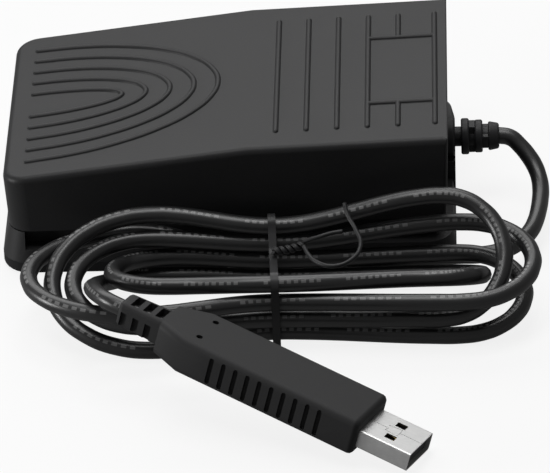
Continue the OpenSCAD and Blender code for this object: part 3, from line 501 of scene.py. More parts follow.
def jacket_finish():
    """Satin black jacket with a fine grain, a slow drift of gloss and a line of printed dashes."""
    material, shade, shader = start_finish("cord_jacket", Specular_IOR_Level=JACKET_GLOSS)
    place = shade.node("ShaderNodeTexCoord", out="Object")
    fine = {"Vector": place, "Scale": GRAIN_SCALE, "Detail": GRAIN_DETAIL}
    grain = shade.node("ShaderNodeTexNoise", inputs=fine)
    slow = {"Vector": place, "Scale": SHEEN_SCALE, "Detail": SHEEN_DETAIL}
    drift = shade.node("ShaderNodeTexNoise", inputs=slow)
    black = drift.blend_colours(JACKET_DARK, JACKET_LIGHT)
    bump = {"Strength": GRAIN_STRENGTH, "Distance": GRAIN_DEPTH, "Height": grain}
    feed(
        shade,
        shader,
        Base_Color=printed_dashes(shade).blend_colours(black, DASH_GREY),
        Roughness=JACKET_ROUGHNESS + JACKET_SPREAD * drift,
        Normal=shade.node("ShaderNodeBump", inputs=bump),
    )
    return material


cord_jacket = jacket_finish()


def smooth_curve(name, points, radius, steps):
    """A round curve in metres through points in millimetres."""
    data = bpy.data.curves.new(name, "CURVE")
    data.dimensions = "3D"
    data.twist_mode = "Z_UP"
    data.bevel_depth = radius * MM
    data.bevel_resolution = BEVEL_STEPS
    data.resolution_u = steps
    data.use_fill_caps = True
    spline = data.splines.new("BEZIER")
    spline.bezier_points.add(len(points) - 1)
    for knot, place in zip(spline.bezier_points, points):
        knot.co = Vector(place) * MM
        knot.handle_left_type = knot.handle_right_type = "AUTO"
    return data


cord_curve = smooth_curve("cord", cord_points, CORD_D / 2, CORD_STEPS)
cord_curve.materials.append(cord_jacket)
cord = bpy.data.objects.new("cord", cord_curve)
bpy.context.scene.collection.objects.link(cord)
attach(cord, "pedal_base")
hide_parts("cable_lead", "cable_hank", "cable_tail")
print("cord laid")

# %% [markdown]
# ## Tools for the mouldings
#
# The other pieces are built in millimetres as bmeshes and scaled to metres when they are done. A rounded
# box and a rounded drum cover most of a moulding. Holes are cut with Blender's exact Boolean, which copes
# with a cutter that touches many faces at once, and its result is kept as plain mesh so that nothing is
# left to be solved later.

# %% Box, drum and rod
DRUM_SIDES = 40


def round_off(bm, edges, size, segments=3):
    round_form = {"offset_type": "OFFSET", "affect": "EDGES", "profile": 0.5, "material": -1}
    bmesh.ops.bevel(bm, geom=list(edges), offset=size, segments=segments, **round_form)


def block(bm, low, high, edge=0.0):
    """Adds a box between two corners, with its edges rounded."""
    low, high = Vector(low), Vector(high)
    place = Matrix.Translation((low + high) / 2) @ Matrix.Diagonal((*(high - low), 1))
    made = bmesh.ops.create_cube(bm, size=1.0, matrix=place)["verts"]
    if edge:
        round_off(bm, {e for v in made for e in v.link_edges}, edge)


def drum(bm, start, end, radius, edge=0.0, end_radius=None):
    """Adds a turned piece between two points, with its rims rounded."""
    start, end = Vector(start), Vector(end)
    along = end - start
    place = Matrix.Translation((start + end) / 2) @ along.to_track_quat("Z", "Y").to_matrix().to_4x4()
    size = {"radius1": radius, "radius2": end_radius or radius, "depth": along.length}
    made = bmesh.ops.create_cone(bm, cap_ends=True, segments=DRUM_SIDES, matrix=place, **size)["verts"]
    if edge:
        rims = {e for v in made for e in v.link_edges if any(len(f.verts) > 4 for f in e.link_faces)}
        round_off(bm, rims, edge)


def rod(bm, points, radius, steps=6):
    """Adds a round wire along a smooth curve through the points."""
    holder = bpy.data.objects.new("rod", smooth_curve("rod", points, radius, steps))
    mesh = bpy.data.meshes.new_from_object(holder)
    mesh.transform(Matrix.Diagonal((1 / MM, 1 / MM, 1 / MM, 1)))
    bm.from_mesh(mesh)
    bpy.data.objects.remove(holder)
    bpy.data.meshes.remove(mesh)


# %% Carving and finishing a piece
WELD = 0.001


def carved(bm, cutter):
    """Cuts one bmesh out of another with an exact Boolean and returns the result."""
    holders = []
    for name, part in (("blank", bm), ("cutter", cutter)):
        mesh = bpy.data.meshes.new(name)
        part.to_mesh(mesh)
        part.free()
        holder = bpy.data.objects.new(name, mesh)
        bpy.context.scene.collection.objects.link(holder)
        holders.append(holder)
    cut = holders[0].modifiers.new("cut", "BOOLEAN")
    cut.solver = "EXACT"
    cut.use_self = True
    cut.object = holders[1]
    seen = holders[0].evaluated_get(bpy.context.evaluated_depsgraph_get())
    result = bmesh.new()
    result.from_mesh(seen.data)
    for holder in holders:
        mesh = holder.data
        bpy.data.objects.remove(holder)
        bpy.data.meshes.remove(mesh)
    return result


def piece(name, bm, finish, body, slot, *stands_for, sharp=32.0):
    """Scales a bmesh to metres and makes it a finished piece that rides on a body."""
    bmesh.ops.remove_doubles(bm, verts=bm.verts, dist=WELD)
    bmesh.ops.scale(bm, vec=(MM, MM, MM), verts=bm.verts)
    mesh = bpy.data.meshes.new(name)
    bm.to_mesh(mesh)
    bm.free()
    mesh.materials.append(finish)
    mesh.shade_smooth()
    mesh.set_sharp_from_angle(angle=math.radians(sharp))
    made = bpy.data.objects.new(name, mesh)
    bpy.context.scene.collection.objects.link(made)
    made.modifiers.new("even_normals", "WEIGHTED_NORMAL").keep_sharp = True
    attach(made, body)
    if stands_for:
        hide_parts(*stands_for)
    print(f"{name}: {len(mesh.polygons)} faces")
    return made


# %% [markdown]
# ## Pedal cover
#
# The cover is one thin-walled moulding: two flat planes that meet in a fold, side walls with a little
# draft so that it leaves its mould, and a soft edge all round the top. A solid wedge with bevelled edges
# gives the outside, and a smaller wedge cut out of it leaves walls of even thickness, which offsetting
# the bevelled skin would not.

# %% Outside of the cover
FRONT_X, FOLD_X, REAR_X = -52.0, 5.0, 51.6
FRONT_H, FOLD_H, REAR_H = 25.0, 32.2, 34.0
SKIRT_FRONT, SKIRT_REAR = 10.8, 12.5
COVER_HALF = 33.0
DRAFT = 0.7
FRONT_CORNER, REAR_CORNER = 5.5, 0.9
TOP_EDGE, REAR_EDGE = 1.6, 0.45
WALL, TOP_WALL = 2.0, 2.2
UPRIGHT_RISE, END_REACH = 10.0, 9.0
REAR_REACH, HIGH_REACH = 0.5, 3.0
FACES_UP, FACES_BACK = 0.8, 0.95
front_slope = math.atan((FOLD_H - FRONT_H) / (FOLD_X - FRONT_X))
rear_slope = math.atan((REAR_H - FOLD_H) / (REAR_X - FOLD_X))


def top_z(x):
    slope = front_slope if x < FOLD_X else rear_slope
    return FOLD_H + (x - FOLD_X) * math.tan(slope)


def skirt_z(x):
    return SKIRT_FRONT + (SKIRT_REAR - SKIRT_FRONT) * (x - FRONT_X) / (REAR_X - FRONT_X)


def split(bm, at, normal):
    everything = bm.verts[:] + bm.edges[:] + bm.faces[:]
    bmesh.ops.bisect_plane(bm, geom=everything, dist=0.0001, plane_co=at, plane_no=normal)


def at_rear(edge):
    return all(v.co.x > REAR_X - REAR_REACH for v in edge.verts)


def high_up(edge):
    return all(v.co.z > REAR_H - HIGH_REACH for v in edge.verts)


def uprights(bm):
    """The edges that climb from the skirt to the top."""
    return [e for e in bm.edges if abs(e.verts[0].co.z - e.verts[1].co.z) > UPRIGHT_RISE]


def wedge(wall, top_wall, edge, below):
    """The closed form of the cover, drawn in by its walls and carried on below the skirt."""
    bm = bmesh.new()
    block(bm, (FRONT_X, -COVER_HALF, 0), (REAR_X, COVER_HALF, 1))
    split(bm, (FOLD_X, 0, 0), (1, 0, 0))
    for vert in bm.verts:
        end = 1 if vert.co.x > FOLD_X + 1 else -1 if vert.co.x < FOLD_X - 1 else 0
        side = 1 if vert.co.y > 0 else -1
        inward = wall
        if vert.co.z > 0.5:
            vert.co.z = top_z(vert.co.x) - top_wall
        else:
            vert.co.z = skirt_z(vert.co.x) - below
            inward += DRAFT
        vert.co.x -= end * inward
        vert.co.y -= side * inward
    front = [e for e in uprights(bm) if e.verts[0].co.x < FRONT_X + END_REACH]
    round_off(bm, front, FRONT_CORNER - wall, 7)
    rear = [e for e in uprights(bm) if e.verts[0].co.x > REAR_X - END_REACH]
    round_off(bm, rear, REAR_CORNER, 3)
    if edge:
        bm.normal_update()
        rim = [e for e in bm.edges if {f.normal.z > FACES_UP for f in e.link_faces} == {True, False}]
        round_off(bm, [e for e in rim if not at_rear(e)], edge, 5)
        bm.normal_update()
        back = [f for f in bm.faces if f.normal.x > FACES_BACK]
        rim = [e for e in bm.edges if at_rear(e) and sum(f in back for f in e.link_faces) == 1 and high_up(e)]
        round_off(bm, rim, REAR_EDGE, 2)
    return bm


cover = wedge(0.0, 0.0, TOP_EDGE, 0.0)
fold = math.degrees(front_slope - rear_slope)
print(f"outside of the cover: {len(cover.faces)} faces, fold {fold:.1f} degrees")

# %% Hollow, and a notch for the cord outlet
NOTCH_X, NOTCH_W, NOTCH_Z = (48.4, 56), 11.6, 20.34
NOTCH_FOOT = 5
HOLLOW_BELOW = 2.0
hollow = wedge(WALL, TOP_WALL, 0.0, HOLLOW_BELOW)
block(hollow, (NOTCH_X[0], -NOTCH_W / 2, NOTCH_FOOT), (NOTCH_X[1], NOTCH_W / 2, NOTCH_Z))
drum(hollow, (NOTCH_X[0], 0, NOTCH_Z), (NOTCH_X[1], 0, NOTCH_Z), NOTCH_W / 2)
cover = carved(cover, hollow)
piece("cover_shell", cover, cover_plastic, "pedal", "cover_plastic", "pedal_cover")

# %% [markdown]
# ## Grip of the pedal
#
# Low rounded beads keep the shoe from slipping: five nested arches on the low plane, and straight cross
# ribs with a square frame on the high plane. Each bead is a rod sunk most of the way into its plane, so
# only a low crown stands out. Modelled this way they stay smooth in the light, where a texture would go
# flat at the edges of the pedal.

# %% Beads on the two planes
BEAD_W, BEAD_H = 1.4, 0.5
RIBS, RIB_X, RIB_STEP, RIB_LAST, RIB_HALF = 4, 11.7, 7.1, 48.7, 25.3
FRAME_Y = 15.0
BEAD_STEPS = 4
ARCH_X, ARCHES = -46.5, 5
ARCH_FIRST, ARCH_GROW, ARCH_STEP = 21.5, 5.75, 5.1
bead_r = (BEAD_W * BEAD_W / 4 + BEAD_H * BEAD_H) / (2 * BEAD_H)
fold_at = Matrix.Translation((FOLD_X, 0, FOLD_H))
rear_plane = fold_at @ Matrix.Rotation(-rear_slope, 4, "Y")
front_plane = fold_at @ Matrix.Rotation(-front_slope, 4, "Y")


def bead(bm, plane, places):
    """Adds a bead through places on one plane, given by distance from the fold, with round ends."""
    points = [plane @ Vector((x, y, BEAD_H - bead_r)) for x, y in places]
    rod(bm, points, bead_r, BEAD_STEPS)
    for end in (points[0], points[-1]):
        ball = Matrix.Translation(end)
        bmesh.ops.create_uvsphere(bm, u_segments=20, v_segments=12, radius=bead_r, matrix=ball)


def rib(bm, start, end):
    """Adds a straight bead on the high plane between two places of the pedal."""
    bead(bm, rear_plane, [(start[0] - FOLD_X, start[1]), (end[0] - FOLD_X, end[1])])


grip = bmesh.new()
for i in range(RIBS):
    rib(grip, (RIB_X + i * RIB_STEP, -RIB_HALF), (RIB_X + i * RIB_STEP, RIB_HALF))
rib(grip, (RIB_LAST, -RIB_HALF), (RIB_LAST, RIB_HALF))
for side in (-1, 1):
    rib(grip, (RIB_X + RIBS * RIB_STEP, side * FRAME_Y), (RIB_X + RIBS * RIB_STEP, side * RIB_HALF))
    rib(grip, (RIB_X + (RIBS - 1) * RIB_STEP, side * FRAME_Y), (RIB_LAST, side * FRAME_Y))
arch_start = (ARCH_X - FOLD_X) / math.cos(front_slope)
for i in range(ARCHES):
    along, across = ARCH_FIRST + i * ARCH_GROW, (i + 1) * ARCH_STEP
    turns = [math.radians(a) for a in range(-90, 91, 15)]
    bead(grip, front_plane, [(arch_start + along * math.cos(a), across * math.sin(a)) for a in turns])
piece("grip_beads", grip, cover_plastic, "pedal", "cover_plastic", sharp=60)

# %% [markdown]
# ## Fittings under the cover
#
# Under its skin the cover carries two hinge lugs, two barbs that hook behind the base, two posts that
# meet the rubber stops, the thumb that presses the switch lever and the seat of the spring. They hang
# from the top wall, so they are drums and blocks that reach up into it. The thumb ends in a ball, flattened
# above so that it stays inside the wall.

# %% Lugs, barbs and posts
HINGE_X, HINGE_Z = -44.0, 14.5
LUG_D, LUG_Y, LUG_TOP = 7.0, (17.0, 21.4), 24.2
PIN_BORE, BORE_HALF = 3.1, 30
BARB_X, BARB_Y, BARB_Z = (47.2, 50.4), (14, 20), (14.4, 16.2)
POST_X, POST_Y, POST_Z, POST_R, POST_EDGE = 40, 20, (13.2, 32.4), 3.5, 0.3


def on_side(side, reach):
    """The two ends of a stretch across the pedal, on its near or far side, in rising order."""
    return sorted((side * reach[0], side * reach[1]))


fittings = bmesh.new()
bores = bmesh.new()
for side in (-1, 1):
    low, high = on_side(side, LUG_Y)
    drum(fittings, (HINGE_X, low, HINGE_Z), (HINGE_X, high, HINGE_Z), LUG_D / 2)
    block(fittings, (HINGE_X - LUG_D / 2, low, HINGE_Z), (HINGE_X + LUG_D / 2, high, LUG_TOP))
    low, high = on_side(side, BARB_Y)
    block(fittings, (BARB_X[0], low, BARB_Z[0]), (BARB_X[1], high, BARB_Z[1]))
    foot, root = ((POST_X, side * POST_Y, z) for z in POST_Z)
    drum(fittings, foot, root, POST_R, POST_EDGE)
drum(bores, (HINGE_X, -BORE_HALF, HINGE_Z), (HINGE_X, BORE_HALF, HINGE_Z), PIN_BORE / 2)
fittings = carved(fittings, bores)
print("lugs, barbs and posts:", len(fittings.faces), "faces")

# %% Thumb for the switch and seat of the spring
PRESS_X, PRESS_Z, PRESS_R = 27.0, (30.79, 32), 2.5
PRESS_TOP = PRESS_Z[0] + 0.6
SEAT_Z, SEAT_R, SEAT_EDGE = (20.05, 30.5), 5.5, 0.3
PEG_Z, PEG_R, PEG_EDGE = (17.1, 20.1), 2.5, 0.4
drum(fittings, (PRESS_X, 0, PRESS_Z[0]), (PRESS_X, 0, PRESS_Z[1]), PRESS_R)
ball = Matrix.Translation((PRESS_X, 0, PRESS_Z[0]))
thumb = bmesh.ops.create_uvsphere(fittings, u_segments=32, v_segments=16, radius=PRESS_R, matrix=ball)
for vert in thumb["verts"]:
    vert.co.z = min(vert.co.z, PRESS_TOP)
drum(fittings, (0, 0, SEAT_Z[0]), (0, 0, SEAT_Z[1]), SEAT_R, SEAT_EDGE)
drum(fittings, (0, 0, PEG_Z[0]), (0, 0, PEG_Z[1]), PEG_R, PEG_EDGE)
piece("cover_fittings", fittings, cover_plastic, "pedal", "cover_plastic")

# %% [markdown]
# ## Base and sole
#
# The base is a shallow tray with a flared rim, two posts at the low end and a wall inside it that carries
# the hinge, the switch and the clamp; a dull rubber sole is screwed under it. Their shapes are already
# right in the CAD model, but its edges are razor sharp. Copies of the two meshes are welded, freed of the
# lines inside flat faces, and given a fine round edge, which is what catches the light on a real
# moulding.

# %% Copies with rounded edges
CAD_WELD, FLAT_DEGREES = 0.002, 1
BASE_EDGE, SOLE_EDGE, SOFT_DEGREES = 0.3, 0.2, 40


def softened(name, node, finish, slot, edge):
    """A copy of a CAD solid with its corners rounded by a fine bevel."""
    bm = bmesh.new()
    bm.from_mesh(nodes[node].data)
    bmesh.ops.scale(bm, vec=(1 / MM, 1 / MM, 1 / MM), verts=bm.verts)
    bmesh.ops.remove_doubles(bm, verts=bm.verts, dist=CAD_WELD)
    flat = math.radians(FLAT_DEGREES)
    bmesh.ops.dissolve_limit(bm, angle_limit=flat, verts=bm.verts, edges=bm.edges)
    made = piece(name, bm, finish, "pedal_base", slot, node, sharp=SOFT_DEGREES)
    rounding = made.modifiers.new("round_edges", "BEVEL")
    rounding.width = edge * MM
    rounding.segments = 2
    rounding.limit_method = "ANGLE"
    rounding.angle_limit = math.radians(SOFT_DEGREES)
    rounding.use_clamp_overlap = True
    made.modifiers.move(1, 0)


softened("base_tray", "base", base_plastic, "base_plastic", BASE_EDGE)
softened("sole_pad", "rubber_sole", sole_rubber, "sole_rubber", SOLE_EDGE)

# %% [markdown]
# ## Strain relief of the pedal
#
# A soft moulding round the cord sits in the rear wall. Behind its flange it is cut into ribs that are
# joined by turns above and below and at the sides, so it bends evenly and keeps the cord from folding at
# the wall. Drums make the flange and the ribs, and small blocks make the joints between them.

# %% Flange, ribs and webs
RELIEF_AXIS = 14.8
EXIT_X = 63.5
# Start, end, radius, rounding and end radius of each turned step
RELIEF_STEPS = {
    "inner flange": (44.75, 46.55, 4.5, 0.3, 4.5),
    "neck": (46.4, 48.6, 3.2, 0.0, 3.2),
    "outer flange": (48.45, 53, 4.75, 0.5, 4.75),
    "core": (52.8, EXIT_X - 0.2, 2.35, 0.0, 2.35),
    "first rib": (54.5, 56.4, 4.3, 0.45, 4.3),
    "second rib": (57.7, 59.6, 3.9, 0.45, 3.9),
    "last rib": (60.9, EXIT_X, 3.5, 0.5, 3.0),
}
WEB_EDGE = 0.25
TOP_WEB_X, TOP_WEB_HALF, TOP_WEB_REACH = (56.2, 57.9), 1.7, (1.5, 3.5)
SIDE_WEB_X, SIDE_WEB_HALF, SIDE_WEB_REACH = (59.4, 61.1), 1.6, (1.5, 3.1)
relief = bmesh.new()
for start, end, radius, edge, end_radius in RELIEF_STEPS.values():
    drum(relief, (start, 0, RELIEF_AXIS), (end, 0, RELIEF_AXIS), radius, edge, end_radius)
for side in (-1, 1):
    low, high = on_side(side, TOP_WEB_REACH)
    low_corner = (TOP_WEB_X[0], -TOP_WEB_HALF, RELIEF_AXIS + low)
    high_corner = (TOP_WEB_X[1], TOP_WEB_HALF, RELIEF_AXIS + high)
    block(relief, low_corner, high_corner, WEB_EDGE)
    low, high = on_side(side, SIDE_WEB_REACH)
    low_corner = (SIDE_WEB_X[0], low, RELIEF_AXIS - SIDE_WEB_HALF)
    high_corner = (SIDE_WEB_X[1], high, RELIEF_AXIS + SIDE_WEB_HALF)
    block(relief, low_corner, high_corner, WEB_EDGE)
relief_piece = piece("outlet_relief", relief, strain_plastic, "pedal_base", "cord_jacket", "strain_relief")

# %% [markdown]
# ## Plug moulding
#
# The plug is longer than a common one because a small board sits in it. Its body is a flat box with soft
# edges, a tail that narrows to the cord, ten finger grooves on each side and two small round recesses on
# top. It is built along its own axis, where sizes are easy to read, and laid in its slanted place at the
# end.

# %% Body and tail of the plug
PLUG_L, PLUG_W, PLUG_H = 45.0, 16.0, 9.2
HIP_L, HIP_W, HIP_H = 7.0, 10.5, 8.8
PLUG_EDGE, NOSE_EDGE = 1.7, 1.3


def lengthwise(bm):
    """The edges that run along X."""
    return [e for e in bm.edges if abs(e.verts[0].co.x - e.verts[1].co.x) > 1]


plug = bmesh.new()
block(plug, (-PLUG_L, -PLUG_W / 2, -PLUG_H / 2), (0, PLUG_W / 2, PLUG_H / 2))
plug.normal_update()
tail_face = [f for f in plug.faces if f.normal.x < -0.9]
tail = bmesh.ops.extrude_face_region(plug, geom=tail_face)["geom"]
bmesh.ops.delete(plug, geom=tail_face, context="FACES_ONLY")
for vert in tail:
    if isinstance(vert, bmesh.types.BMVert):
        vert.co.x -= HIP_L
        vert.co.y *= HIP_W / PLUG_W
        vert.co.z *= HIP_H / PLUG_H
round_off(plug, lengthwise(plug), PLUG_EDGE, 4)
nose = [e for e in plug.edges if all(abs(v.co.x) < 0.01 for v in e.verts)]
round_off(plug, nose, NOSE_EDGE, 3)
print("plug body:", len(plug.faces), "faces")

# %% Grooves, recesses and room for the shell
GROOVES, GROOVE_X, GROOVE_STEP, GROOVE_R = 10, -9.5, -3.05, 0.6
GROOVE_MARGIN, GROOVE_SINK = 1.2, 0.25
GROOVE_HALF = PLUG_H / 2 - GROOVE_MARGIN - GROOVE_R
RECESS_X, RECESS_Y, RECESS_R, RECESS_DEPTH = -42.6, 4, 0.75, 0.8
SLOT_X, SLOT_HALF_W, SLOT_HALF_H = (-6.05, 1), 6.05, 2.3
ROOM_X, ROOM_HALF_W, ROOM_HALF_H = (-39, -6), 6.4, 2.5


def hollow_out(bm, reach, half_width, half_height):
    """Adds a cutter for a hollow along the shell, whose axis lies below that of the moulding."""
    low_corner = (reach[0], -half_width, -half_height - MOULD_RISE)
    high_corner = (reach[1], half_width, half_height - MOULD_RISE)
    block(bm, low_corner, high_corner)


cutter = bmesh.new()
for i in range(GROOVES):
    for side in (-1, 1):
        x, y = GROOVE_X + i * GROOVE_STEP, side * (PLUG_W / 2 - GROOVE_SINK)
        drum(cutter, (x, y, -GROOVE_HALF), (x, y, GROOVE_HALF), GROOVE_R)
        for z in (-GROOVE_HALF, GROOVE_HALF):
            end = Matrix.Translation((x, y, z))
            bmesh.ops.create_uvsphere(cutter, u_segments=24, v_segments=12, radius=GROOVE_R, matrix=end)
for y in (-RECESS_Y, RECESS_Y):
    drum(cutter, (RECESS_X, y, PLUG_H / 2 - RECESS_DEPTH), (RECESS_X, y, PLUG_H / 2 + 1), RECESS_R)
hollow_out(cutter, SLOT_X, SLOT_HALF_W, SLOT_HALF_H)
hollow_out(cutter, ROOM_X, ROOM_HALF_W, ROOM_HALF_H)
plug = carved(plug, cutter)
print("plug carved:", len(plug.faces), "faces")

# %% Ladder relief of the plug
LADDER_START, LADDER_HALF, LADDER_EDGE, LADDER_TAPER = -52.0, 3.4, 1.1, 0.9
LADDER_ROOT, TAPER_FROM = LADDER_START + 1.5, LADDER_START - 6
RUNGS, RUNG_X, RUNG_STEP = 3, LADDER_START - 1.9, -3.15
TOP_SLOT_HALF_L, TOP_SLOT_HALF_W, TOP_SLOT_REACH = 0.95, 2.1, (1.4, 6)
SIDE_SLOT_HALF_L, SIDE_SLOT_Z, SIDE_SLOT_REACH = 0.8, (-6, 0.9), (2.3, 6)
ladder = bmesh.new()
block(ladder, (-RELIEF_END, -LADDER_HALF, -LADDER_HALF), (LADDER_ROOT, LADDER_HALF, LADDER_HALF), LADDER_EDGE)
for vert in ladder.verts:
    if vert.co.x < TAPER_FROM:
        vert.co.yz *= LADDER_TAPER
slots = bmesh.new()
for i in range(RUNGS):
    x = RUNG_X + i * RUNG_STEP
    x_side = x + RUNG_STEP / 2
    for side in (-1, 1):
        low, high = on_side(side, TOP_SLOT_REACH)
        low_corner = (x - TOP_SLOT_HALF_L, -TOP_SLOT_HALF_W, low)
        block(slots, low_corner, (x + TOP_SLOT_HALF_L, TOP_SLOT_HALF_W, high))
        low, high = on_side(side, SIDE_SLOT_REACH)
        low_corner = (x_side - SIDE_SLOT_HALF_L, low, SIDE_SLOT_Z[0])
        block(slots, low_corner, (x_side + SIDE_SLOT_HALF_L, high, SIDE_SLOT_Z[1]))
ladder = carved(ladder, slots)
ladder_mesh = bpy.data.meshes.new("ladder")
ladder.to_mesh(ladder_mesh)
ladder.free()
plug.from_mesh(ladder_mesh)
bpy.data.meshes.remove(ladder_mesh)
bmesh.ops.transform(plug, matrix=mould_place, verts=plug.verts)
plug_body = piece("plug_body", plug, plug_plastic, "pedal_base", "plug_plastic", "plug_overmould")

# %% [markdown]
# ## Plug shell
#
# The bright shell is a strip of plated steel folded into a flat tube, with a dovetailed seam along its
# top and two windows for the springs of the socket. A bevelled box without ends is given the thickness of
# the strip, and the windows and the seam are cut through it.

# %% Folded shell
SHELL_W, SHELL_H, SHELL_T, SHELL_CORNER = 12.0, 4.5, 0.3, 0.55
SHELL_IN, SHELL_OUT = -6.0, 12.7
WINDOW_X, WINDOW_Y, WINDOW_L, WINDOW_W = 5.0, 2.9, 2.5, 1.9
shell = bmesh.new()
block(shell, (SHELL_IN, -SHELL_W / 2, -SHELL_H / 2), (SHELL_OUT, SHELL_W / 2, SHELL_H / 2))
round_off(shell, lengthwise(shell), SHELL_CORNER, 4)
shell.normal_update()
bmesh.ops.delete(shell, geom=[f for f in shell.faces if abs(f.normal.x) > 0.9], context="FACES")
bmesh.ops.solidify(shell, geom=shell.faces[:], thickness=SHELL_T)
print("shell height", round(max(v.co.z for v in shell.verts) * 2, 3))

# %% Windows and seam
SEAM_W, SEAM_DEPTH = 0.14, 0.2
TAB_END, SEAM_END = 7.2, 14
SEAM = [(-7, 0), (4.4, 0), (4.0, 1.15), (TAB_END, 1.5), (TAB_END, -1.5), (4.0, -1.15), (4.4, 0)]
CUT_HALF = 4
cutter = bmesh.new()
for side in (-1, 1):
    low, high = side * WINDOW_Y - WINDOW_W / 2, side * WINDOW_Y + WINDOW_W / 2
    block(cutter, (WINDOW_X, low, -CUT_HALF), (WINDOW_X + WINDOW_L, high, CUT_HALF))
shell = carved(shell, cutter)
seam = bmesh.new()
seam_z = SHELL_H / 2
for start, end in zip(SEAM, SEAM[1:]):
    a, b = Vector((*start, seam_z)), Vector((*end, seam_z))
    middle, along = (a + b) / 2, b - a
    turn = Matrix.Rotation(math.atan2(along.y, along.x), 4, "Z")
    size = Matrix.Diagonal((along.length + SEAM_W, SEAM_W, SEAM_DEPTH, 1))
    bmesh.ops.create_cube(seam, size=1.0, matrix=Matrix.Translation(middle) @ turn @ size)
low_corner = (TAB_END, -SEAM_W / 2, seam_z - SEAM_DEPTH / 2)
block(seam, low_corner, (SEAM_END, SEAM_W / 2, seam_z + SEAM_DEPTH / 2))
shell = carved(shell, seam)
bmesh.ops.transform(shell, matrix=plug_place, verts=shell.verts)
shell_piece = piece("plug_shell", shell, shell_steel, "pedal_base", "shell_steel", "usb_shell")

# %% [markdown]
# ## Twist tie
#
# A flat strap of coated wire holds the waist of the hank. It goes once round, dips between the two
# bundles, where its ends are twisted together, and runs out in two loose ends. The strap starts as a
# closed outline across the hank, drawn out to its width, rounded at its bends and given its thickness;
# the twisted ends are two rods on a helix.

# %% Strap round the waist
TIE_W, TIE_T, TIE_FOLD = 1.8, 0.5, 1.1
STRAP = [
    (-35.4, 0.3), (-0.8, 0.3), (-0.8, 6.7), (-5.0, 17.9), (-6.4, 19.8), (-9.2, 19.8), (-10.6, 17.9),
    (-14.6, 14.2), (-18.4, 14.2), (-29.2, 17.9), (-30.6, 19.3), (-33.4, 19.3), (-35.4, 17.4),
]
STRAP_SLANT, STRAP_MIDDLE = -0.045, -17
strap = bmesh.new()
outline = [strap.verts.new((0, y, z)) for y, z in STRAP]
for a, b in zip(outline, outline[1:] + outline[:1]):
    strap.edges.new((a, b))
drawn = bmesh.ops.extrude_edge_only(strap, edges=strap.edges[:])["geom"]
far_edge = [v for v in drawn if isinstance(v, bmesh.types.BMVert)]
bmesh.ops.translate(strap, vec=(TIE_W, 0, 0), verts=far_edge)
round_off(strap, lengthwise(strap), TIE_FOLD, 4)
bmesh.ops.recalc_face_normals(strap, faces=strap.faces[:])
bmesh.ops.solidify(strap, geom=strap.faces[:], thickness=TIE_T)
for vert in strap.verts:
    vert.co.x += TIE_X - TIE_W / 2 + STRAP_SLANT * (vert.co.y - STRAP_MIDDLE)
print("strap:", len(strap.faces), "faces, width", TIE_W)

# %% Twisted ends
KNOT = Vector((TIE_X, -16.9, 14.8))
TWIST_L, TWIST_TURNS, TWIST_STEPS, WIRE_R = 7.0, 2.5, 20, 0.5
TWIST_R, TWIST_ASIDE, TWIST_LIFT, TWIST_CLIMB = 0.6, 0.65, 0.6, 1.6
LOOSE_NEAR = [
    (8.2, -3.2, 2), (10, -6.4, 2), (14, -8.8, 2.2), (18.2, -7, 2.8),
    (20.2, -3, 4), (19, 1.6, 5.6), (17.2, 5, 7.4), (16.6, 7.3, 9),
]
LOOSE_FAR = [(10.9, 1.1, 4), (13.4, 1.8, 4.4), (16, 2.2, 4.6)]
for phase, loose in ((0, LOOSE_NEAR), (math.pi, LOOSE_FAR)):
    helix = []
    for i in range(TWIST_STEPS + 1):
        share = i / TWIST_STEPS
        angle = phase + 2 * math.pi * TWIST_TURNS * share
        y = TWIST_ASIDE + TWIST_R * math.cos(angle)
        z = TWIST_LIFT + TWIST_CLIMB * share * share + TWIST_R * math.sin(angle)
        helix.append((TWIST_L * share, y, z))
    rod(strap, [KNOT + Vector(p) for p in helix + loose], WIRE_R)
bmesh.ops.translate(strap, vec=CORNER, verts=strap.verts)
tie_piece = piece("tie_strap", strap, tie_coating, "pedal_base", "tie_coating", "twist_tie", sharp=45)
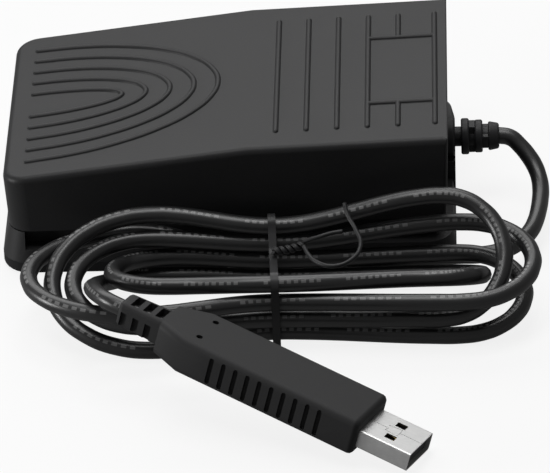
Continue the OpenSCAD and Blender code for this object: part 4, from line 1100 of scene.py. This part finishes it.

# %% [markdown]
# ## Spring and wires
#
# Inside, a coil spring lifts the pedal and two red wires join the cord to the switch. Both are drawn
# wire, so a rod along a helix and two rods along listed routes make them.

# %% Return spring
SPRING_R, SPRING_WIRE, SPRING_TURNS, TURN_POINTS = 4.2, 1.1, 5, 16
SPRING_LOW, SPRING_HIGH = 5.25, 20.0
SPRING_STEPS, SPRING_KEEP = 3, 0.81
first_z = SPRING_LOW + SPRING_WIRE / 2
rise = SPRING_HIGH - SPRING_LOW - SPRING_WIRE
coil = []
for i in range(TURN_POINTS * SPRING_TURNS + 1):
    share = i / (TURN_POINTS * SPRING_TURNS)
    angle = 2 * math.pi * SPRING_TURNS * share
    coil.append((SPRING_R * math.cos(angle), SPRING_R * math.sin(angle), first_z + rise * share))
spring = bmesh.new()
rod(spring, coil, SPRING_WIRE / 2, SPRING_STEPS)
spring_coil = piece("spring_coil", spring, steel, "pedal_base", "steel", "return_spring", sharp=60)
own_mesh(spring_coil)

# %% Switch wires
SWITCH_WIRE_R = 0.6
NEAR_WIRE = [
    (30.95, -0.9, 14.8), (30, -0.9, 14.8), (29.4, -0.8, 12.8), (29.8, -0.4, 10.38),
    (29.4, -0.1, 9.18), (27.65, 0, 8.98), (27.25, 0, 8.98),
]
FAR_WIRE = [
    (30.95, 0.9, 14.8), (30, 0.9, 14.8), (29.7, 1.4, 12), (29, 1.9, 8), (26.5, 1.9, 6.4), (21.05, 1.9, 6.4),
    (16.05, 1.9, 6.4), (13.65, 1, 7.78), (11.85, 0.1, 8.98), (11.25, 0, 8.98),
]
wires = bmesh.new()
for route in (NEAR_WIRE, FAR_WIRE):
    rod(wires, route, SWITCH_WIRE_R)
piece("wire_pair", wires, wire_jacket, "pedal_base", "wire_jacket", "switch_wires", sharp=60)

# %% [markdown]
# ## Pieces kept from the CAD model
#
# Pins, screws, the switch, the clamp and the inside of the plug are true to shape in the CAD model, so
# they stay and only take their finishes.

# %% Finishes of the kept nodes
KEPT = {
    "sole_screws": steel, "hinge_pin": steel, "switch_lever": steel, "lever_pin": steel,
    "switch_screws": steel, "clamp_screws": steel,
    "switch_body": switch_plastic, "lever_brackets": switch_plastic, "cable_clamp": switch_plastic,
    "controller_chip": switch_plastic, "stop_bumpers": sole_rubber,
    "inner_cable": cord_jacket, "plug_cable": cord_jacket, "switch_plunger": plunger_plastic,
    "switch_blades": brass, "usb_contacts": brass, "usb_tongue": tongue_plastic,
    "plug_board": board_green, "board_parts": board_ceramic,
}
for name, finish in KEPT.items():
    nodes[name].data.materials.clear()
    nodes[name].data.materials.append(finish)
print("finishes given to", len(KEPT), "nodes")

# %% [markdown]

# %% [markdown]
# ## Closing the file
#
# The dressed model must keep the size of the CAD model.

# %% End
print("done")
